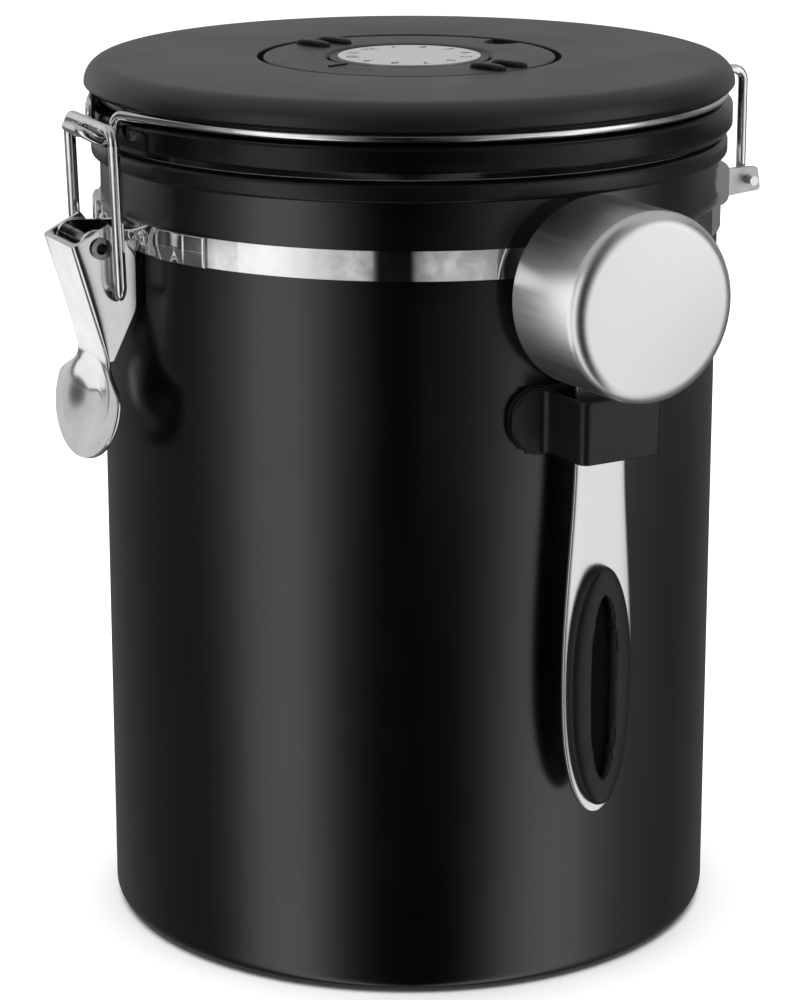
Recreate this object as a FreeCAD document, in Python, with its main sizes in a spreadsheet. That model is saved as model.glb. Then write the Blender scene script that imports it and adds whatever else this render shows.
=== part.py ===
"""Coffee canister with a clamped lid, a date dial, a one-way valve and a clipped-on scoop.

Millimetres, +Z up, origin at the centre of the base. The clasp is at -X and the hinge at +X.
Clasp, hinge and scoop pieces are drawn with outwards along +X and then turned about Z.
"""
import FreeCAD, Part
import math
import os
from types import SimpleNamespace

import Sketcher
from FreeCAD import Placement, Rotation, Vector

SIZES = {
    # can and collar
    "body_radius": 62.5,
    "can_wall": 0.8,
    "can_top": 160.0,
    "base_thickness": 1.2,
    "base_edge_radius": 3.0,
    "base_ring_inset": 12.5,
    "base_ring_width": 4.0,
    "base_ring_depth": 0.5,
    "collar_overhang": 1.7,
    "collar_drop": 2.0,
    "collar_cap": 2.0,
    "collar_inset": 1.0,
    "collar_round": 0.9,
    "seat_gap": 0.05,
    "part_gap": 0.3,
    # bands and brackets
    "band_drop": 16.6,
    "band_height": 5.7,
    "band_thickness": 0.9,
    "band_end_angle": 0.4,
    "strap_thickness": 0.6,
    "clasp_half_angle": 15.0,
    "hinge_half_angle": 45.0,
    "ear_thickness": 1.1,
    "rivet_radius": 1.6,
    "rivet_top_radius": 1.1,
    "rivet_height": 0.9,
    "clasp_rivet_angle": 9.6,
    "hinge_rivet_angle": 2.8,
    # latch lever, its eyelet and the hasp
    "pivot_reach": 7.65,
    "pivot_rise": 1.2,
    "clasp_ear_radius": 3.5,
    "clasp_ear_root": 2.7,
    "lever_width": 17.0,
    "lever_sheet": 1.1,
    "spine_skin": 1.15,
    "waist_skin": 1.5,
    "lever_head_out": 5.8,
    "lever_head_up": 0.5,
    "lever_peak_in": 2.2,
    "lever_peak_up": 4.9,
    "lever_edge_in": 7.0,
    "lever_edge_high": 1.6,
    "lever_edge_low": 12.4,
    "lever_waist_in": 1.0,
    "lever_waist_down": 22.6,
    "lever_edge_round": 4.0,
    "lever_peak_round": 1.5,
    "tab_sheet": 1.2,
    "tab_drop": 9.2,
    "tab_lean": 11.5,
    "tab_half_width": 16.6,
    "tab_half_height": 11.3,
    "tab_neck_half": 7.8,
    "tab_neck_bite": 1.5,
    "dish_half_width": 13.4,
    "dish_half_height": 9.2,
    "dish_depth": 2.4,
    "dish_slope_angle": 40.0,
    "eyelet_radius": 1.5,
    "eyelet_bore": 1.1,
    "eyelet_head_radius": 2.1,
    "eyelet_head": 0.5,
    "pivot_play": 0.06,
    "hasp_pivot_in": 2.7,
    "hasp_pivot_down": 9.4,
    "hasp_wire_radius": 1.15,
    "hasp_half_width": 12.0,
    "hasp_bar_in": 3.7,
    "hasp_bar_rise": 0.65,
    "hasp_bend": 2.6,
    "hasp_tail": 5.2,
    # hinge
    "hinge_reach": 12.45,
    "hinge_rise": 3.6,
    "hinge_ear_end": 3.1,
    "hinge_ear_slant": 0.8,
    "hinge_ear_high": 2.6,
    "hinge_ear_low": 2.4,
    "hinge_ear_root": 4.0,
    "hinge_ear_round": 0.8,
    "hinge_ear_inside": 8.0,
    "hinge_plate_height": 9.3,
    "hinge_plate_half_width": 17.0,
    "hinge_plate_thickness": 4.8,
    "hinge_plate_round": 2.2,
    "hinge_plate_rise": 1.4,
    # lid
    "skirt_overhang": 0.9,
    "skirt_lip_gap": 0.5,
    "skirt_lip_height": 1.5,
    "skirt_height": 4.3,
    "skirt_lip_thickness": 0.4,
    "skirt_lip_inset": 1.1,
    "groove_depth": 3.1,
    "groove_step": 0.6,
    "groove_height": 2.3,
    "groove_mouth_width": 1.0,
    "rim_wall": 2.0,
    "web_rise": 2.6,
    "web_thickness": 2.0,
    "plug_clearance": 3.2,
    "plug_wall": 2.0,
    "plug_depth": 2.5,
    "gasket_gap": 0.5,
    "gasket_height": 1.9,
    "gasket_rise": 0.4,
    "cover_overhang": 0.3,
    "cover_height": 5.5,
    "cover_wall": 2.0,
    "cover_round": 4.6,
    "cover_lip_inset": 0.8,
    "cover_lip_rise": 0.8,
    # bail wire of the lid
    "bail_wire_radius": 1.0,
    "bail_gap": 0.2,
    "bail_bend": 2.4,
    "bail_leave_angle": 23.6,
    "bail_return_angle": 10.0,
    "bail_loop_half": 6.5,
    "bail_loop_drop": 6.65,
    "bail_tip_half": 4.5,
    "bail_tip_reach": 6.0715,
    "bail_tip_rise": 3.5,
    "bail_leg_half": 6.0,
    "bail_pin_end": 11.6,
    # date dial, its hub and face
    "dial_radius": 29.4,
    "dial_clearance": 1.2,
    "dial_thickness": 2.8,
    "dial_sink": 0.1,
    "dial_floor": 1.6,
    "dial_ledge_inside": 22.0,
    "dial_slope_radius": 18.0,
    "dial_slope_drop": 1.4,
    "dial_lip": 0.4,
    "hub_radius": 14.5,
    "hub_flange_radius": 16.0,
    "hub_flange": 1.75,
    "hub_cavity_radius": 12.4,
    "hub_roof": 3.7,
    "face_radius": 14.4,
    "face_thickness": 0.4,
    "rib_inside": 20.0,
    "rib_outside": 28.8,
    "rib_width": 2.7,
    "rib_spacing": 6.2,
    "rib_round": 1.2,
    "rib_rise": 1.1,
    "pointer_inside": 18.3,
    "pointer_outside": 22.5,
    "pointer_width": 1.0,
    "pointer_rise": 0.3,
    "notch_inside": 23.4,
    "notch_width": 7.6,
    "notch_depth": 1.6,
    "dial_turn": 110.0,
    # one-way valve
    "valve_bore": 13.0,
    "valve_fit": 0.1,
    "seat_flange_radius": 16.0,
    "seat_flange": 1.2,
    "seat_rise": 1.4,
    "filter_radius": 11.0,
    "filter_depth": 1.0,
    "vent_radius": 1.2,
    "vent_circle": 5.0,
    "valve_disc_radius": 9.0,
    "valve_disc_thickness": 0.8,
    "valve_disc_lift": 0.2,
    "valve_travel": 0.8,
    "cap_wall": 2.5,
    "cap_roof": 0.6,
    "cap_vent_radius": 3.0,
    # scoop and its holder
    "scoop_turn": -84.5,
    "pad_thickness": 0.8,
    "holder_half_angle": 14.2,
    "holder_thickness": 1.6,
    "holder_drop": 50.7,
    "holder_height": 13.0,
    "holder_round": 6.4,
    "loop_inset": 0.4,
    "loop_side_play": 0.5,
    "loop_wall": 0.9,
    "loop_bite": 0.5,
    "loop_clearance": 4.15,
    "loop_round": 1.8,
    "mouth_gap": 0.4,
    "handle_set": 2.7,
    "cup_radius": 18.1,
    "cup_depth": 21.0,
    "cup_wall": 0.9,
    "cup_round": 3.0,
    "handle_thickness": 1.2,
    "handle_neck_half": 5.6,
    "handle_neck_drop": 2.7,
    "handle_tip_length": 28.7,
    "handle_half": 7.9,
    "handle_end_half": 3.9,
    "handle_end_round": 3.6,
    "handle_length": 72.4,
    "handle_wrap": 3.0,
    "handle_sweep": 150.0,
    "grip_half": 7.2,
    "grip_top_half": 4.4,
    "grip_end_half": 3.6,
    "grip_round": 3.3,
    "grip_margin": 1.7,
    "grip_length": 48.5,
    "grip_thickness": 2.4,
    "recess_inset": 4.0,
    "recess_margin": 6.0,
    "recess_depth": 1.1,
}

# share of its half width that a rounded end may take
ROUND_END = 0.9
# share of the shorter side next to it that a wide bend may take
BEND_SHARE = 0.4

doc = FreeCAD.newDocument("canister")
sheet = doc.addObject("Spreadsheet::Sheet", "Sizes")
pieces = []


class Size:
    """A number together with the spreadsheet formula that gives it."""

    def __init__(self, value, formula):
        self.value = value
        self.formula = formula

    def join(self, sign, other, value, swapped=False):
        first, second = (other, self) if swapped else (self, other)
        return Size(value, f"({first.formula} {sign} {second.formula})")

    def __add__(self, other):
        other = as_size(other)
        return self.join("+", other, self.value + other.value)

    def __sub__(self, other):
        other = as_size(other)
        return self.join("-", other, self.value - other.value)

    def __rsub__(self, other):
        other = as_size(other)
        return self.join("-", other, other.value - self.value, swapped=True)

    def __mul__(self, other):
        other = as_size(other)
        return self.join("*", other, self.value * other.value)

    def __truediv__(self, other):
        other = as_size(other)
        return self.join("/", other, self.value / other.value)

    def __neg__(self):
        return Size(-self.value, f"(0 - {self.formula})")

    __radd__ = __add__
    __rmul__ = __mul__


def as_size(thing):
    return thing if isinstance(thing, Size) else Size(float(thing), str(float(thing)))


def smaller(first, second):
    first, second = as_size(first), as_size(second)
    return Size(min(first.value, second.value), f"min({first.formula}; {second.formula})")


def cosine(angle):
    return Size(math.cos(math.radians(angle.value)), f"cos({angle.formula} * 1deg)")


def sine(angle):
    return Size(math.sin(math.radians(angle.value)), f"sin({angle.formula} * 1deg)")


def fill_sheet():
    """Writes each driving dimension to the sheet and returns them as named sizes."""
    named = {}
    for row, (name, value) in enumerate(SIZES.items(), start=1):
        sheet.set(f"A{row}", name)
        sheet.set(f"B{row}", str(value))
        sheet.setAlias(f"B{row}", name)
        named[name] = Size(value, f"Sizes.{name}")
    doc.recompute()
    return SimpleNamespace(**named)


size = fill_sheet()


def bind(item, prop, amount):
    amount = as_size(amount)
    item.setExpression(prop, amount.formula)


def new_body(label):
    body = doc.addObject("PartDesign::Body", label)
    body.Label = label
    pieces.append(body)
    return body


def new_sketch(body, plane, offset=0, lift=0, lean=0):
    """An empty sketch on an origin plane, moved along its normal and its own Y, then leant about its X."""
    sketch = body.newObject("Sketcher::SketchObject", f"{body.Name}_sketch")
    support = next(item for item in body.Origin.OriginFeatures if item.Role == plane)
    sketch.AttachmentSupport = [(support, "")]
    sketch.MapMode = "FlatFace"
    offset, lift, lean = as_size(offset), as_size(lift), as_size(lean)
    sketch.AttachmentOffset = Placement(Vector(0, lift.value, offset.value),
                                        Rotation(Vector(1, 0, 0), lean.value))
    bind(sketch, "AttachmentOffset.Base.y", lift)
    bind(sketch, "AttachmentOffset.Base.z", offset)
    if lean.value:
        bind(sketch, "AttachmentOffset.Rotation.Angle", lean)
    return sketch


def hold_point(sketch, item, which, across, up):
    """Fixes a sketch point by its distances from the sketch's origin, bound to the sheet."""
    for kind, axis, amount in (("DistanceX", -2, across), ("DistanceY", -1, up)):
        amount = as_size(amount)
        if amount.formula == "0.0":
            sketch.addConstraint(Sketcher.Constraint("PointOnObject", item, which, axis))
        else:
            index = sketch.addConstraint(
                Sketcher.Constraint(kind, -1, 1, item, which, amount.value))
            sketch.setExpression(f"Constraints[{index}]", amount.formula)


def draw_outline(sketch, corners):
    """Draws a closed outline through corners (across, up) or (across, up, corner radius)."""
    count = len(corners)
    spots = [Vector(as_size(c[0]).value, as_size(c[1]).value, 0) for c in corners]
    bends = [as_size(c[2]) if len(c) == 3 else None for c in corners]
    entry, leave, arcs = [], [], {}
    for i in range(count):
        if bends[i] is None:
            entry.append(spots[i])
            leave.append(spots[i])
            continue
        back = (spots[i - 1] - spots[i]).normalize()
        ahead = (spots[(i + 1) % count] - spots[i]).normalize()
        half = math.acos(max(-1.0, min(1.0, back.dot(ahead)))) / 2
        reach = bends[i].value / math.tan(half)
        centre = spots[i] + (back + ahead).normalize() * (bends[i].value / math.sin(half))
        middle = centre + (spots[i] - centre).normalize() * bends[i].value
        entry.append(spots[i] + back * reach)
        leave.append(spots[i] + ahead * reach)
        arcs[i] = Part.Arc(entry[i], middle, leave[i])
    lines = [sketch.addGeometry(Part.LineSegment(leave[i], entry[(i + 1) % count]), False)
             for i in range(count)]
    for i in range(count):
        before, after = lines[i - 1], lines[i]
        if i not in arcs:
            sketch.addConstraint(Sketcher.Constraint("Coincident", before, 2, after, 1))
            hold_point(sketch, after, 1, corners[i][0], corners[i][1])
            continue
        arc = sketch.addGeometry(arcs[i], False)
        left_turn = (spots[i] - spots[i - 1]).cross(spots[(i + 1) % count] - spots[i]).z > 0
        first, last = (1, 2) if left_turn else (2, 1)
        sketch.addConstraint(Sketcher.Constraint("Tangent", before, 2, arc, first))
        sketch.addConstraint(Sketcher.Constraint("Tangent", arc, last, after, 1))
        index = sketch.addConstraint(Sketcher.Constraint("Radius", arc, bends[i].value))
        sketch.setExpression(f"Constraints[{index}]", bends[i].formula)
        mark = sketch.addGeometry(Part.Point(spots[i]), True)
        sketch.addConstraint(Sketcher.Constraint("PointOnObject", mark, 1, before))
        sketch.addConstraint(Sketcher.Constraint("PointOnObject", mark, 1, after))
        hold_point(sketch, mark, 1, corners[i][0], corners[i][1])


def draw_circle(sketch, across, up, radius):
    radius = as_size(radius)
    centre = Vector(as_size(across).value, as_size(up).value, 0)
    item = sketch.addGeometry(Part.Circle(centre, Vector(0, 0, 1), radius.value), False)
    hold_point(sketch, item, 3, across, up)
    index = sketch.addConstraint(Sketcher.Constraint("Radius", item, radius.value))
    sketch.setExpression(f"Constraints[{index}]", radius.formula)


def revolve(body, corners, angle=360):
    """Turns an outline of (radius, height) corners about Z, evenly to both sides of +X."""
    sketch = new_sketch(body, "XZ_Plane")
    draw_outline(sketch, corners)
    feature = body.newObject("PartDesign::Revolution", f"{body.Name}_turn")
    feature.Profile = sketch
    feature.ReferenceAxis = (sketch, ["V_Axis"])
    feature.Midplane = True
    bind(feature, "Angle", angle)
    return feature


def pad(body, plane, draw, length, offset=0, both_ways=False, reverse=False, slope=0, **tilt):
    """Adds material from a sketch that the draw function fills, drawn in by a slope where one is given."""
    sketch = new_sketch(body, plane, offset, **tilt)
    draw(sketch)
    feature = body.newObject("PartDesign::Pad", f"{body.Name}_pad")
    feature.Profile = sketch
    feature.SideType = "Symmetric" if both_ways else "One side"
    feature.Reversed = reverse
    bind(feature, "Length", length)
    bind(feature, "TaperAngle", -as_size(slope))
    return feature


def pocket(body, plane, draw, length, offset=0, both_ways=False, reverse=False, slope=0, **tilt):
    """Cuts material with a sketch that the draw function fills, and checks that it cut."""
    doc.recompute()
    before = body.Shape.Volume
    sketch = new_sketch(body, plane, offset, **tilt)
    draw(sketch)
    feature = body.newObject("PartDesign::Pocket", f"{body.Name}_cut")
    feature.Profile = sketch
    feature.SideType = "Symmetric" if both_ways else "One side"
    feature.Reversed = reverse
    bind(feature, "Length", length)
    bind(feature, "TaperAngle", -as_size(slope))
    doc.recompute()
    if body.Shape.Volume >= before:
        raise RuntimeError(f"{body.Label}: a pocket removed nothing")
    return feature


def trim_corners(body, half, edge, radius, below=True):
    """Rounds a plate's two corners at one edge, seen from outside, by cutting along X."""
    away = -radius if below else radius

    def corner_outlines(sketch):
        for side in (1, -1):
            draw_outline(sketch, [
                ((half - radius) * side, edge + away),
                ((half + radius) * side, edge + away),
                ((half + radius) * side, edge - away),
                (half * side, edge - away),
                (half * side, edge, radius * ROUND_END),
                ((half - radius) * side, edge),
            ])

    pocket(body, "YZ_Plane", corner_outlines, size.body_radius * 2, reverse=True)


def place(item, turn, base=(0, 0, 0), tilt=None):
    """Turns a piece about Z, after an optional tilt, and moves it to its base point."""
    turn = as_size(turn)
    base = [as_size(amount) for amount in base]
    spin = Rotation(Vector(0, 0, 1), turn.value)
    item.Placement = Placement(Vector(*[amount.value for amount in base]),
                               spin.multiply(tilt) if tilt else spin)
    for axis, amount in zip("xyz", base):
        bind(item, f"Placement.Base.{axis}", amount)
    if tilt is None and turn.value:
        bind(item, "Placement.Rotation.Angle", turn)


def bent_path(points, bend):
    """Edges through the points, with every inner corner rounded by an arc of the bend radius."""
    edges = []
    last = points[0]
    spent = 0.0
    for before, corner, after in zip(points, points[1:], points[2:]):
        back = (before - corner).normalize()
        ahead = (after - corner).normalize()
        half = math.acos(max(-1.0, min(1.0, back.dot(ahead)))) / 2
        reach = bend / math.tan(half)
        if spent + reach >= (corner - before).Length:
            raise RuntimeError(f"a wire's run at {corner} is too short for its bends")
        spent = reach
        centre = corner + (back + ahead).normalize() * (bend / math.sin(half))
        middle = centre + (corner - centre).normalize() * bend
        edges.append(Part.LineSegment(last, corner + back * reach).toShape())
        last = corner + ahead * reach
        edges.append(Part.Arc(corner + back * reach, middle, last).toShape())
    edges.append(Part.LineSegment(last, points[-1]).toShape())
    return edges


def wire_piece(label, edges, radius):
    """A round wire swept along the edges."""
    spine = Part.Wire(Part.__sortEdges__(edges))
    first = edges[0]
    start = first.Vertexes[0].Point
    along = first.tangentAt(first.FirstParameter)
    profile = Part.Wire(Part.Circle(start, along, radius).toShape())
    item = doc.addObject("Part::Feature", label)
    item.Label = label
    item.Shape = spine.makePipeShell([profile], True, False)
    pieces.append(item)
    return item


# heights and radii that several pieces share
collar_top = size.can_top + size.collar_cap
collar_radius = size.body_radius + size.collar_overhang
mouth_radius = size.body_radius - size.can_wall - size.collar_inset
strap_inside = size.body_radius + size.seat_gap
band_bottom = size.can_top - size.band_drop
band_top = band_bottom + size.band_height
pivot_out = strap_inside + size.pivot_reach
pivot_up = band_bottom + size.pivot_rise
hinge_out = strap_inside + size.hinge_reach
hinge_up = band_bottom + size.hinge_rise
skirt_radius = collar_radius + size.skirt_overhang
skirt_lip_radius = skirt_radius - size.skirt_lip_inset
skirt_lip_inside = skirt_lip_radius - size.skirt_lip_thickness
skirt_lip_low = collar_top + size.skirt_lip_gap
skirt_low = skirt_lip_low + size.skirt_lip_height
skirt_high = skirt_low + size.skirt_height
groove_radius = skirt_radius - size.groove_depth
groove_low = skirt_high + size.groove_step
groove_high = groove_low + size.groove_height
rim_inside = groove_radius - size.rim_wall
web_low = collar_top + size.web_rise
web_high = web_low + size.web_thickness
cover_top = groove_high + size.cover_height
cover_radius = skirt_radius + size.cover_overhang
bail_up = groove_low + size.groove_height / 2
bail_radius = groove_radius + size.bail_wire_radius + size.bail_gap
bail_loop_low = bail_up - size.bail_loop_drop
bail_leave = size.bail_leave_angle
bail_loop_out = (bail_radius - size.bail_loop_half * sine(bail_leave)) / cosine(bail_leave)
bail_tip_out = bail_loop_out + size.bail_tip_reach
bail_tip_up = bail_loop_low + size.bail_tip_rise
dial_top = cover_top - size.dial_sink
dial_low = dial_top - size.dial_thickness
ledge_top = dial_low - size.part_gap
hub_flange_low = dial_low + size.dial_lip + size.part_gap
hub_top = hub_flange_low + size.hub_flange
seat_top = web_low + size.seat_rise
mouth_out = cover_radius + size.mouth_gap
handle_inside = mouth_out + size.handle_set
handle_outside = handle_inside + size.handle_thickness
holder_inside = strap_inside + size.pad_thickness
holder_outside = holder_inside + size.holder_thickness
holder_bottom = size.can_top - size.holder_drop
holder_top = holder_bottom + size.holder_height
loop_bottom = holder_bottom + size.loop_inset
loop_top = holder_top - size.loop_inset
loop_out = handle_outside + size.grip_thickness + size.loop_clearance + size.loop_wall
loop_half = size.handle_half + size.loop_side_play + size.loop_wall
cup_up = loop_top + size.part_gap + size.cup_radius
handle_low = loop_bottom - size.handle_length
handle_wide_up = handle_low + size.handle_tip_length
hasp_pivot_out = pivot_out - size.hasp_pivot_in
hasp_pivot_up = pivot_up - size.hasp_pivot_down
cheek_inside = size.lever_width / 2 - size.lever_sheet
ON_Y = Rotation(Vector(1, 0, 0), 90)
ON_X = Rotation(Vector(0, 1, 0), 90)


def make_can():
    body = new_body("canister_body")
    ring_radius = size.body_radius - size.base_ring_inset
    groove_in = ring_radius - size.base_ring_width / 2
    groove_out = ring_radius + size.base_ring_width / 2
    inside = size.body_radius - size.can_wall
    revolve(body, [
        (0, 0),
        (groove_in, 0),
        (groove_in, size.base_ring_depth),
        (groove_out, size.base_ring_depth),
        (groove_out, 0),
        (size.body_radius, 0, size.base_edge_radius),
        (size.body_radius, size.can_top),
        (inside, size.can_top),
        (inside, size.base_thickness, size.base_edge_radius - size.can_wall),
        (0, size.base_thickness),
    ])
    collar = new_body("mouth_collar")
    collar_low = size.can_top - size.collar_drop
    revolve(collar, [
        (mouth_radius, size.can_top),
        (strap_inside, size.can_top),
        (strap_inside, collar_low),
        (collar_radius, collar_low, size.collar_round),
        (collar_radius, collar_top, size.collar_round),
        (mouth_radius, collar_top),
    ])


def strap(body, thickness, half_angle, low, high):
    revolve(body, [
        (strap_inside, low),
        (strap_inside + thickness, low),
        (strap_inside + thickness, high),
        (strap_inside, high),
    ], half_angle * 2)


def make_bands():
    half = (90 - size.band_end_angle) - (size.clasp_half_angle + size.hinge_half_angle) / 2
    middle = 90 + (size.hinge_half_angle - size.clasp_half_angle) / 2
    for label, turn in (("band_front", -middle), ("band_rear", middle)):
        body = new_body(label)
        strap(body, size.band_thickness, half, band_bottom, band_top)
        place(body, turn)


def ear_root(across):
    """Where an ear at this distance from the middle meets the middle of the curved strap."""
    return strap_inside + size.strap_thickness / 2 - across * across / (size.body_radius * 2)


def add_ears(body, out, up, inside, hole, root_low, root_high, end_corners):
    """Two ears with a cross hole, on either side of the middle, each with its root and its end's corners."""
    middle = inside + size.ear_thickness / 2
    root = ear_root(middle)

    def ear_outline(sketch):
        draw_outline(sketch, [(root, up - root_low), *end_corners, (root, up + root_high)])
        draw_circle(sketch, out, up, hole)

    for side in (1, -1):
        pad(body, "XZ_Plane", ear_outline, size.ear_thickness, middle * side, both_ways=True)


def make_brackets():
    clasp = new_body("clasp_bracket")
    strap(clasp, size.strap_thickness, size.clasp_half_angle, band_bottom, band_top)
    radius = size.clasp_ear_radius
    bend = radius * ROUND_END
    add_ears(clasp, pivot_out, pivot_up, cheek_inside - size.part_gap - size.ear_thickness,
             size.eyelet_radius + size.pivot_play, size.clasp_ear_root, size.clasp_ear_root, [
                 (pivot_out + radius, pivot_up - radius, bend),
                 (pivot_out + radius, pivot_up + radius, bend),
             ])
    place(clasp, 180)

    hinge = new_body("hinge_bracket")
    strap(hinge, size.strap_thickness, size.hinge_half_angle, band_bottom, band_top)
    plate_low = hinge_up + size.hinge_plate_rise - size.hinge_plate_height / 2
    plate_half = size.hinge_plate_half_width
    plate_angle = plate_half / size.body_radius * math.degrees(1)
    revolve(hinge, [
        (strap_inside, plate_low),
        (strap_inside + size.hinge_plate_thickness, plate_low, size.hinge_plate_round),
        (strap_inside + size.hinge_plate_thickness, plate_low + size.hinge_plate_height,
         size.hinge_plate_round),
        (strap_inside, plate_low + size.hinge_plate_height),
    ], plate_angle * 2)
    ear_end = hinge_out + size.hinge_ear_end
    add_ears(hinge, hinge_out, hinge_up, size.hinge_ear_inside, size.bail_wire_radius + size.pivot_play,
             size.hinge_ear_root, size.hinge_ear_high, [
                 (ear_end, hinge_up - size.hinge_ear_low, size.hinge_ear_round),
                 (ear_end - size.hinge_ear_slant, hinge_up + size.hinge_ear_high, size.hinge_ear_round),
             ])

    rivets = []
    spots = [(180, size.clasp_rivet_angle, size.strap_thickness),
             (0, size.hinge_rivet_angle, size.hinge_plate_thickness)]
    for middle, aside, stands_on in spots:
        for side in (1, -1):
            angle = middle + aside * side
            radius = strap_inside + stands_on
            head = doc.addObject("Part::Cone", "rivet")
            bind(head, "Radius1", size.rivet_radius)
            bind(head, "Radius2", size.rivet_top_radius)
            bind(head, "Height", size.rivet_height)
            place(head, angle, (radius * cosine(angle), radius * sine(angle),
                                band_bottom + size.band_height / 2), ON_X)
            rivets.append(head)
    group = doc.addObject("Part::Compound", "bracket_rivets")
    group.Label = "bracket_rivets"
    group.Links = rivets
    pieces.append(group)


def make_lever():
    """Folded sheet lever: two cheeks and a spine, with an oval dished thumb tab below."""
    lever = new_body("latch_lever")
    out, up = pivot_out, pivot_up
    head = (out + size.lever_head_out, up + size.lever_head_up)
    waist = (out - size.lever_waist_in, up - size.lever_waist_down)
    edge = out - size.lever_edge_in

    def side_outline(sketch):
        draw_outline(sketch, [
            (edge, up - size.lever_edge_low, size.lever_edge_round),
            waist,
            head,
            (out - size.lever_peak_in, up + size.lever_peak_up, size.lever_peak_round),
            (edge, up - size.lever_edge_high, size.lever_edge_round),
        ])

    def channel_outline(sketch):
        open_side = edge - size.lever_width
        above = up + size.lever_width
        draw_outline(sketch, [
            (open_side, waist[1] - size.lever_sheet),
            (waist[0] - size.waist_skin, waist[1] - size.lever_sheet),
            (head[0] - size.spine_skin, head[1]),
            (head[0] - size.spine_skin, above),
            (open_side, above),
        ])

    def oval(half_width, half_height):
        bend = smaller(half_width, half_height) * ROUND_END
        return lambda sketch: draw_outline(sketch, [
            (-half_width, -half_height, bend), (half_width, -half_height, bend),
            (half_width, half_height, bend), (-half_width, half_height, bend)])

    def neck_outline(sketch):
        half, top = size.tab_neck_half, size.tab_drop + size.tab_neck_bite
        draw_outline(sketch, [(-half, 0), (half, 0), (half, top), (-half, top)])

    tab = {"offset": waist[0] + size.tab_drop * sine(size.tab_lean),
           "lift": waist[1] - size.tab_drop * cosine(size.tab_lean), "lean": -size.tab_lean}
    boss = size.tab_sheet / 2
    pad(lever, "XZ_Plane", side_outline, size.lever_width, both_ways=True)
    pocket(lever, "XZ_Plane", channel_outline, cheek_inside * 2, both_ways=True)
    pad(lever, "YZ_Plane", neck_outline, size.tab_sheet, reverse=True, **tab)
    pad(lever, "YZ_Plane", oval(size.tab_half_width, size.tab_half_height), size.tab_sheet,
        reverse=True, **tab)
    pad(lever, "YZ_Plane", oval(size.dish_half_width + boss, size.dish_half_height + boss),
        size.dish_depth + size.tab_sheet, reverse=True, slope=size.dish_slope_angle, **tab)
    pocket(lever, "YZ_Plane", oval(size.dish_half_width, size.dish_half_height), size.dish_depth,
           slope=size.dish_slope_angle, **tab)
    for across, height, radius in (
            (out, up, size.eyelet_radius + size.pivot_play),
            (hasp_pivot_out, hasp_pivot_up, size.hasp_wire_radius + size.pivot_play)):
        pocket(lever, "XZ_Plane", lambda sketch: draw_circle(sketch, across, height, radius),
               size.lever_width * 2, both_ways=True)
    place(lever, 180)

    eyelet = new_body("lever_eyelet")
    half = size.lever_width / 2 + size.part_gap / 2 + size.eyelet_head
    inner = size.eyelet_head
    revolve(eyelet, [
        (size.eyelet_bore, 0),
        (size.eyelet_head_radius, 0),
        (size.eyelet_head_radius, inner),
        (size.eyelet_radius, inner),
        (size.eyelet_radius, half * 2 - inner),
        (size.eyelet_head_radius, half * 2 - inner),
        (size.eyelet_head_radius, half * 2),
        (size.eyelet_bore, half * 2),
    ])
    place(eyelet, 0, (-out, half, up), ON_Y)


def make_hasp():
    """U of wire over the bail's loop, with its tails turned in through the lever's cheeks."""
    side = size.hasp_half_width.value
    tail = side - size.hasp_tail.value
    foot_out, foot_up = -hasp_pivot_out.value, hasp_pivot_up.value
    bar_out, bar_up = -(bail_tip_out - size.hasp_bar_in).value, (bail_tip_up + size.hasp_bar_rise).value
    points = [Vector(foot_out, -tail, foot_up), Vector(foot_out, -side, foot_up),
              Vector(bar_out, -side, bar_up), Vector(bar_out, side, bar_up),
              Vector(foot_out, side, foot_up), Vector(foot_out, tail, foot_up)]
    wire_piece("hasp_wire", bent_path(points, size.hasp_bend.value), size.hasp_wire_radius.value)


def make_bail():
    """One wire: a ring in the lid's groove, a loop for the hasp and two legs that end as pins."""
    radius, up = bail_radius.value, bail_up.value
    bend = size.bail_bend.value
    leave = math.radians(180 - size.bail_leave_angle.value)
    back = math.radians(size.bail_return_angle.value)
    leg = size.bail_leg_half.value
    loop = size.bail_loop_half.value
    hinge = Vector(hinge_out.value, 0, hinge_up.value)

    def ring_point(angle, side):
        return Vector(radius * math.cos(angle), side * radius * math.sin(angle), up)

    def tangent_to(angle, side, aside):
        """Where the ring's tangent at this angle comes to the given distance from the middle."""
        length = (radius * math.sin(angle) - aside) / math.cos(angle)
        return ring_point(angle, side) + Vector(length * math.sin(angle), -side * length * math.cos(angle), 0)

    edges = []
    for side in (1, -1):
        corner = tangent_to(back, side, leg)
        legs = [Vector(hinge.x, side * size.bail_pin_end.value, hinge.z),
                Vector(hinge.x, side * leg, hinge.z),
                Vector(hinge.x, side * leg, up), corner, ring_point(back, side)]
        edges += bent_path(legs, bend)
        middle = ring_point((back + leave) / 2, side)
        edges.append(Part.Arc(ring_point(back, side), middle, ring_point(leave, side)).toShape())
    ends = []
    for side in (1, -1):
        corner = tangent_to(leave, side, loop)
        tip = Vector(-bail_tip_out.value, side * size.bail_tip_half.value, bail_tip_up.value)
        low = Vector(corner.x, corner.y, bail_loop_low.value)
        ends.append([ring_point(leave, side), corner, low, tip])
    edges += bent_path(ends[0] + ends[1][::-1], bend)
    wire_piece("lid_bail", edges, size.bail_wire_radius.value)


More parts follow.
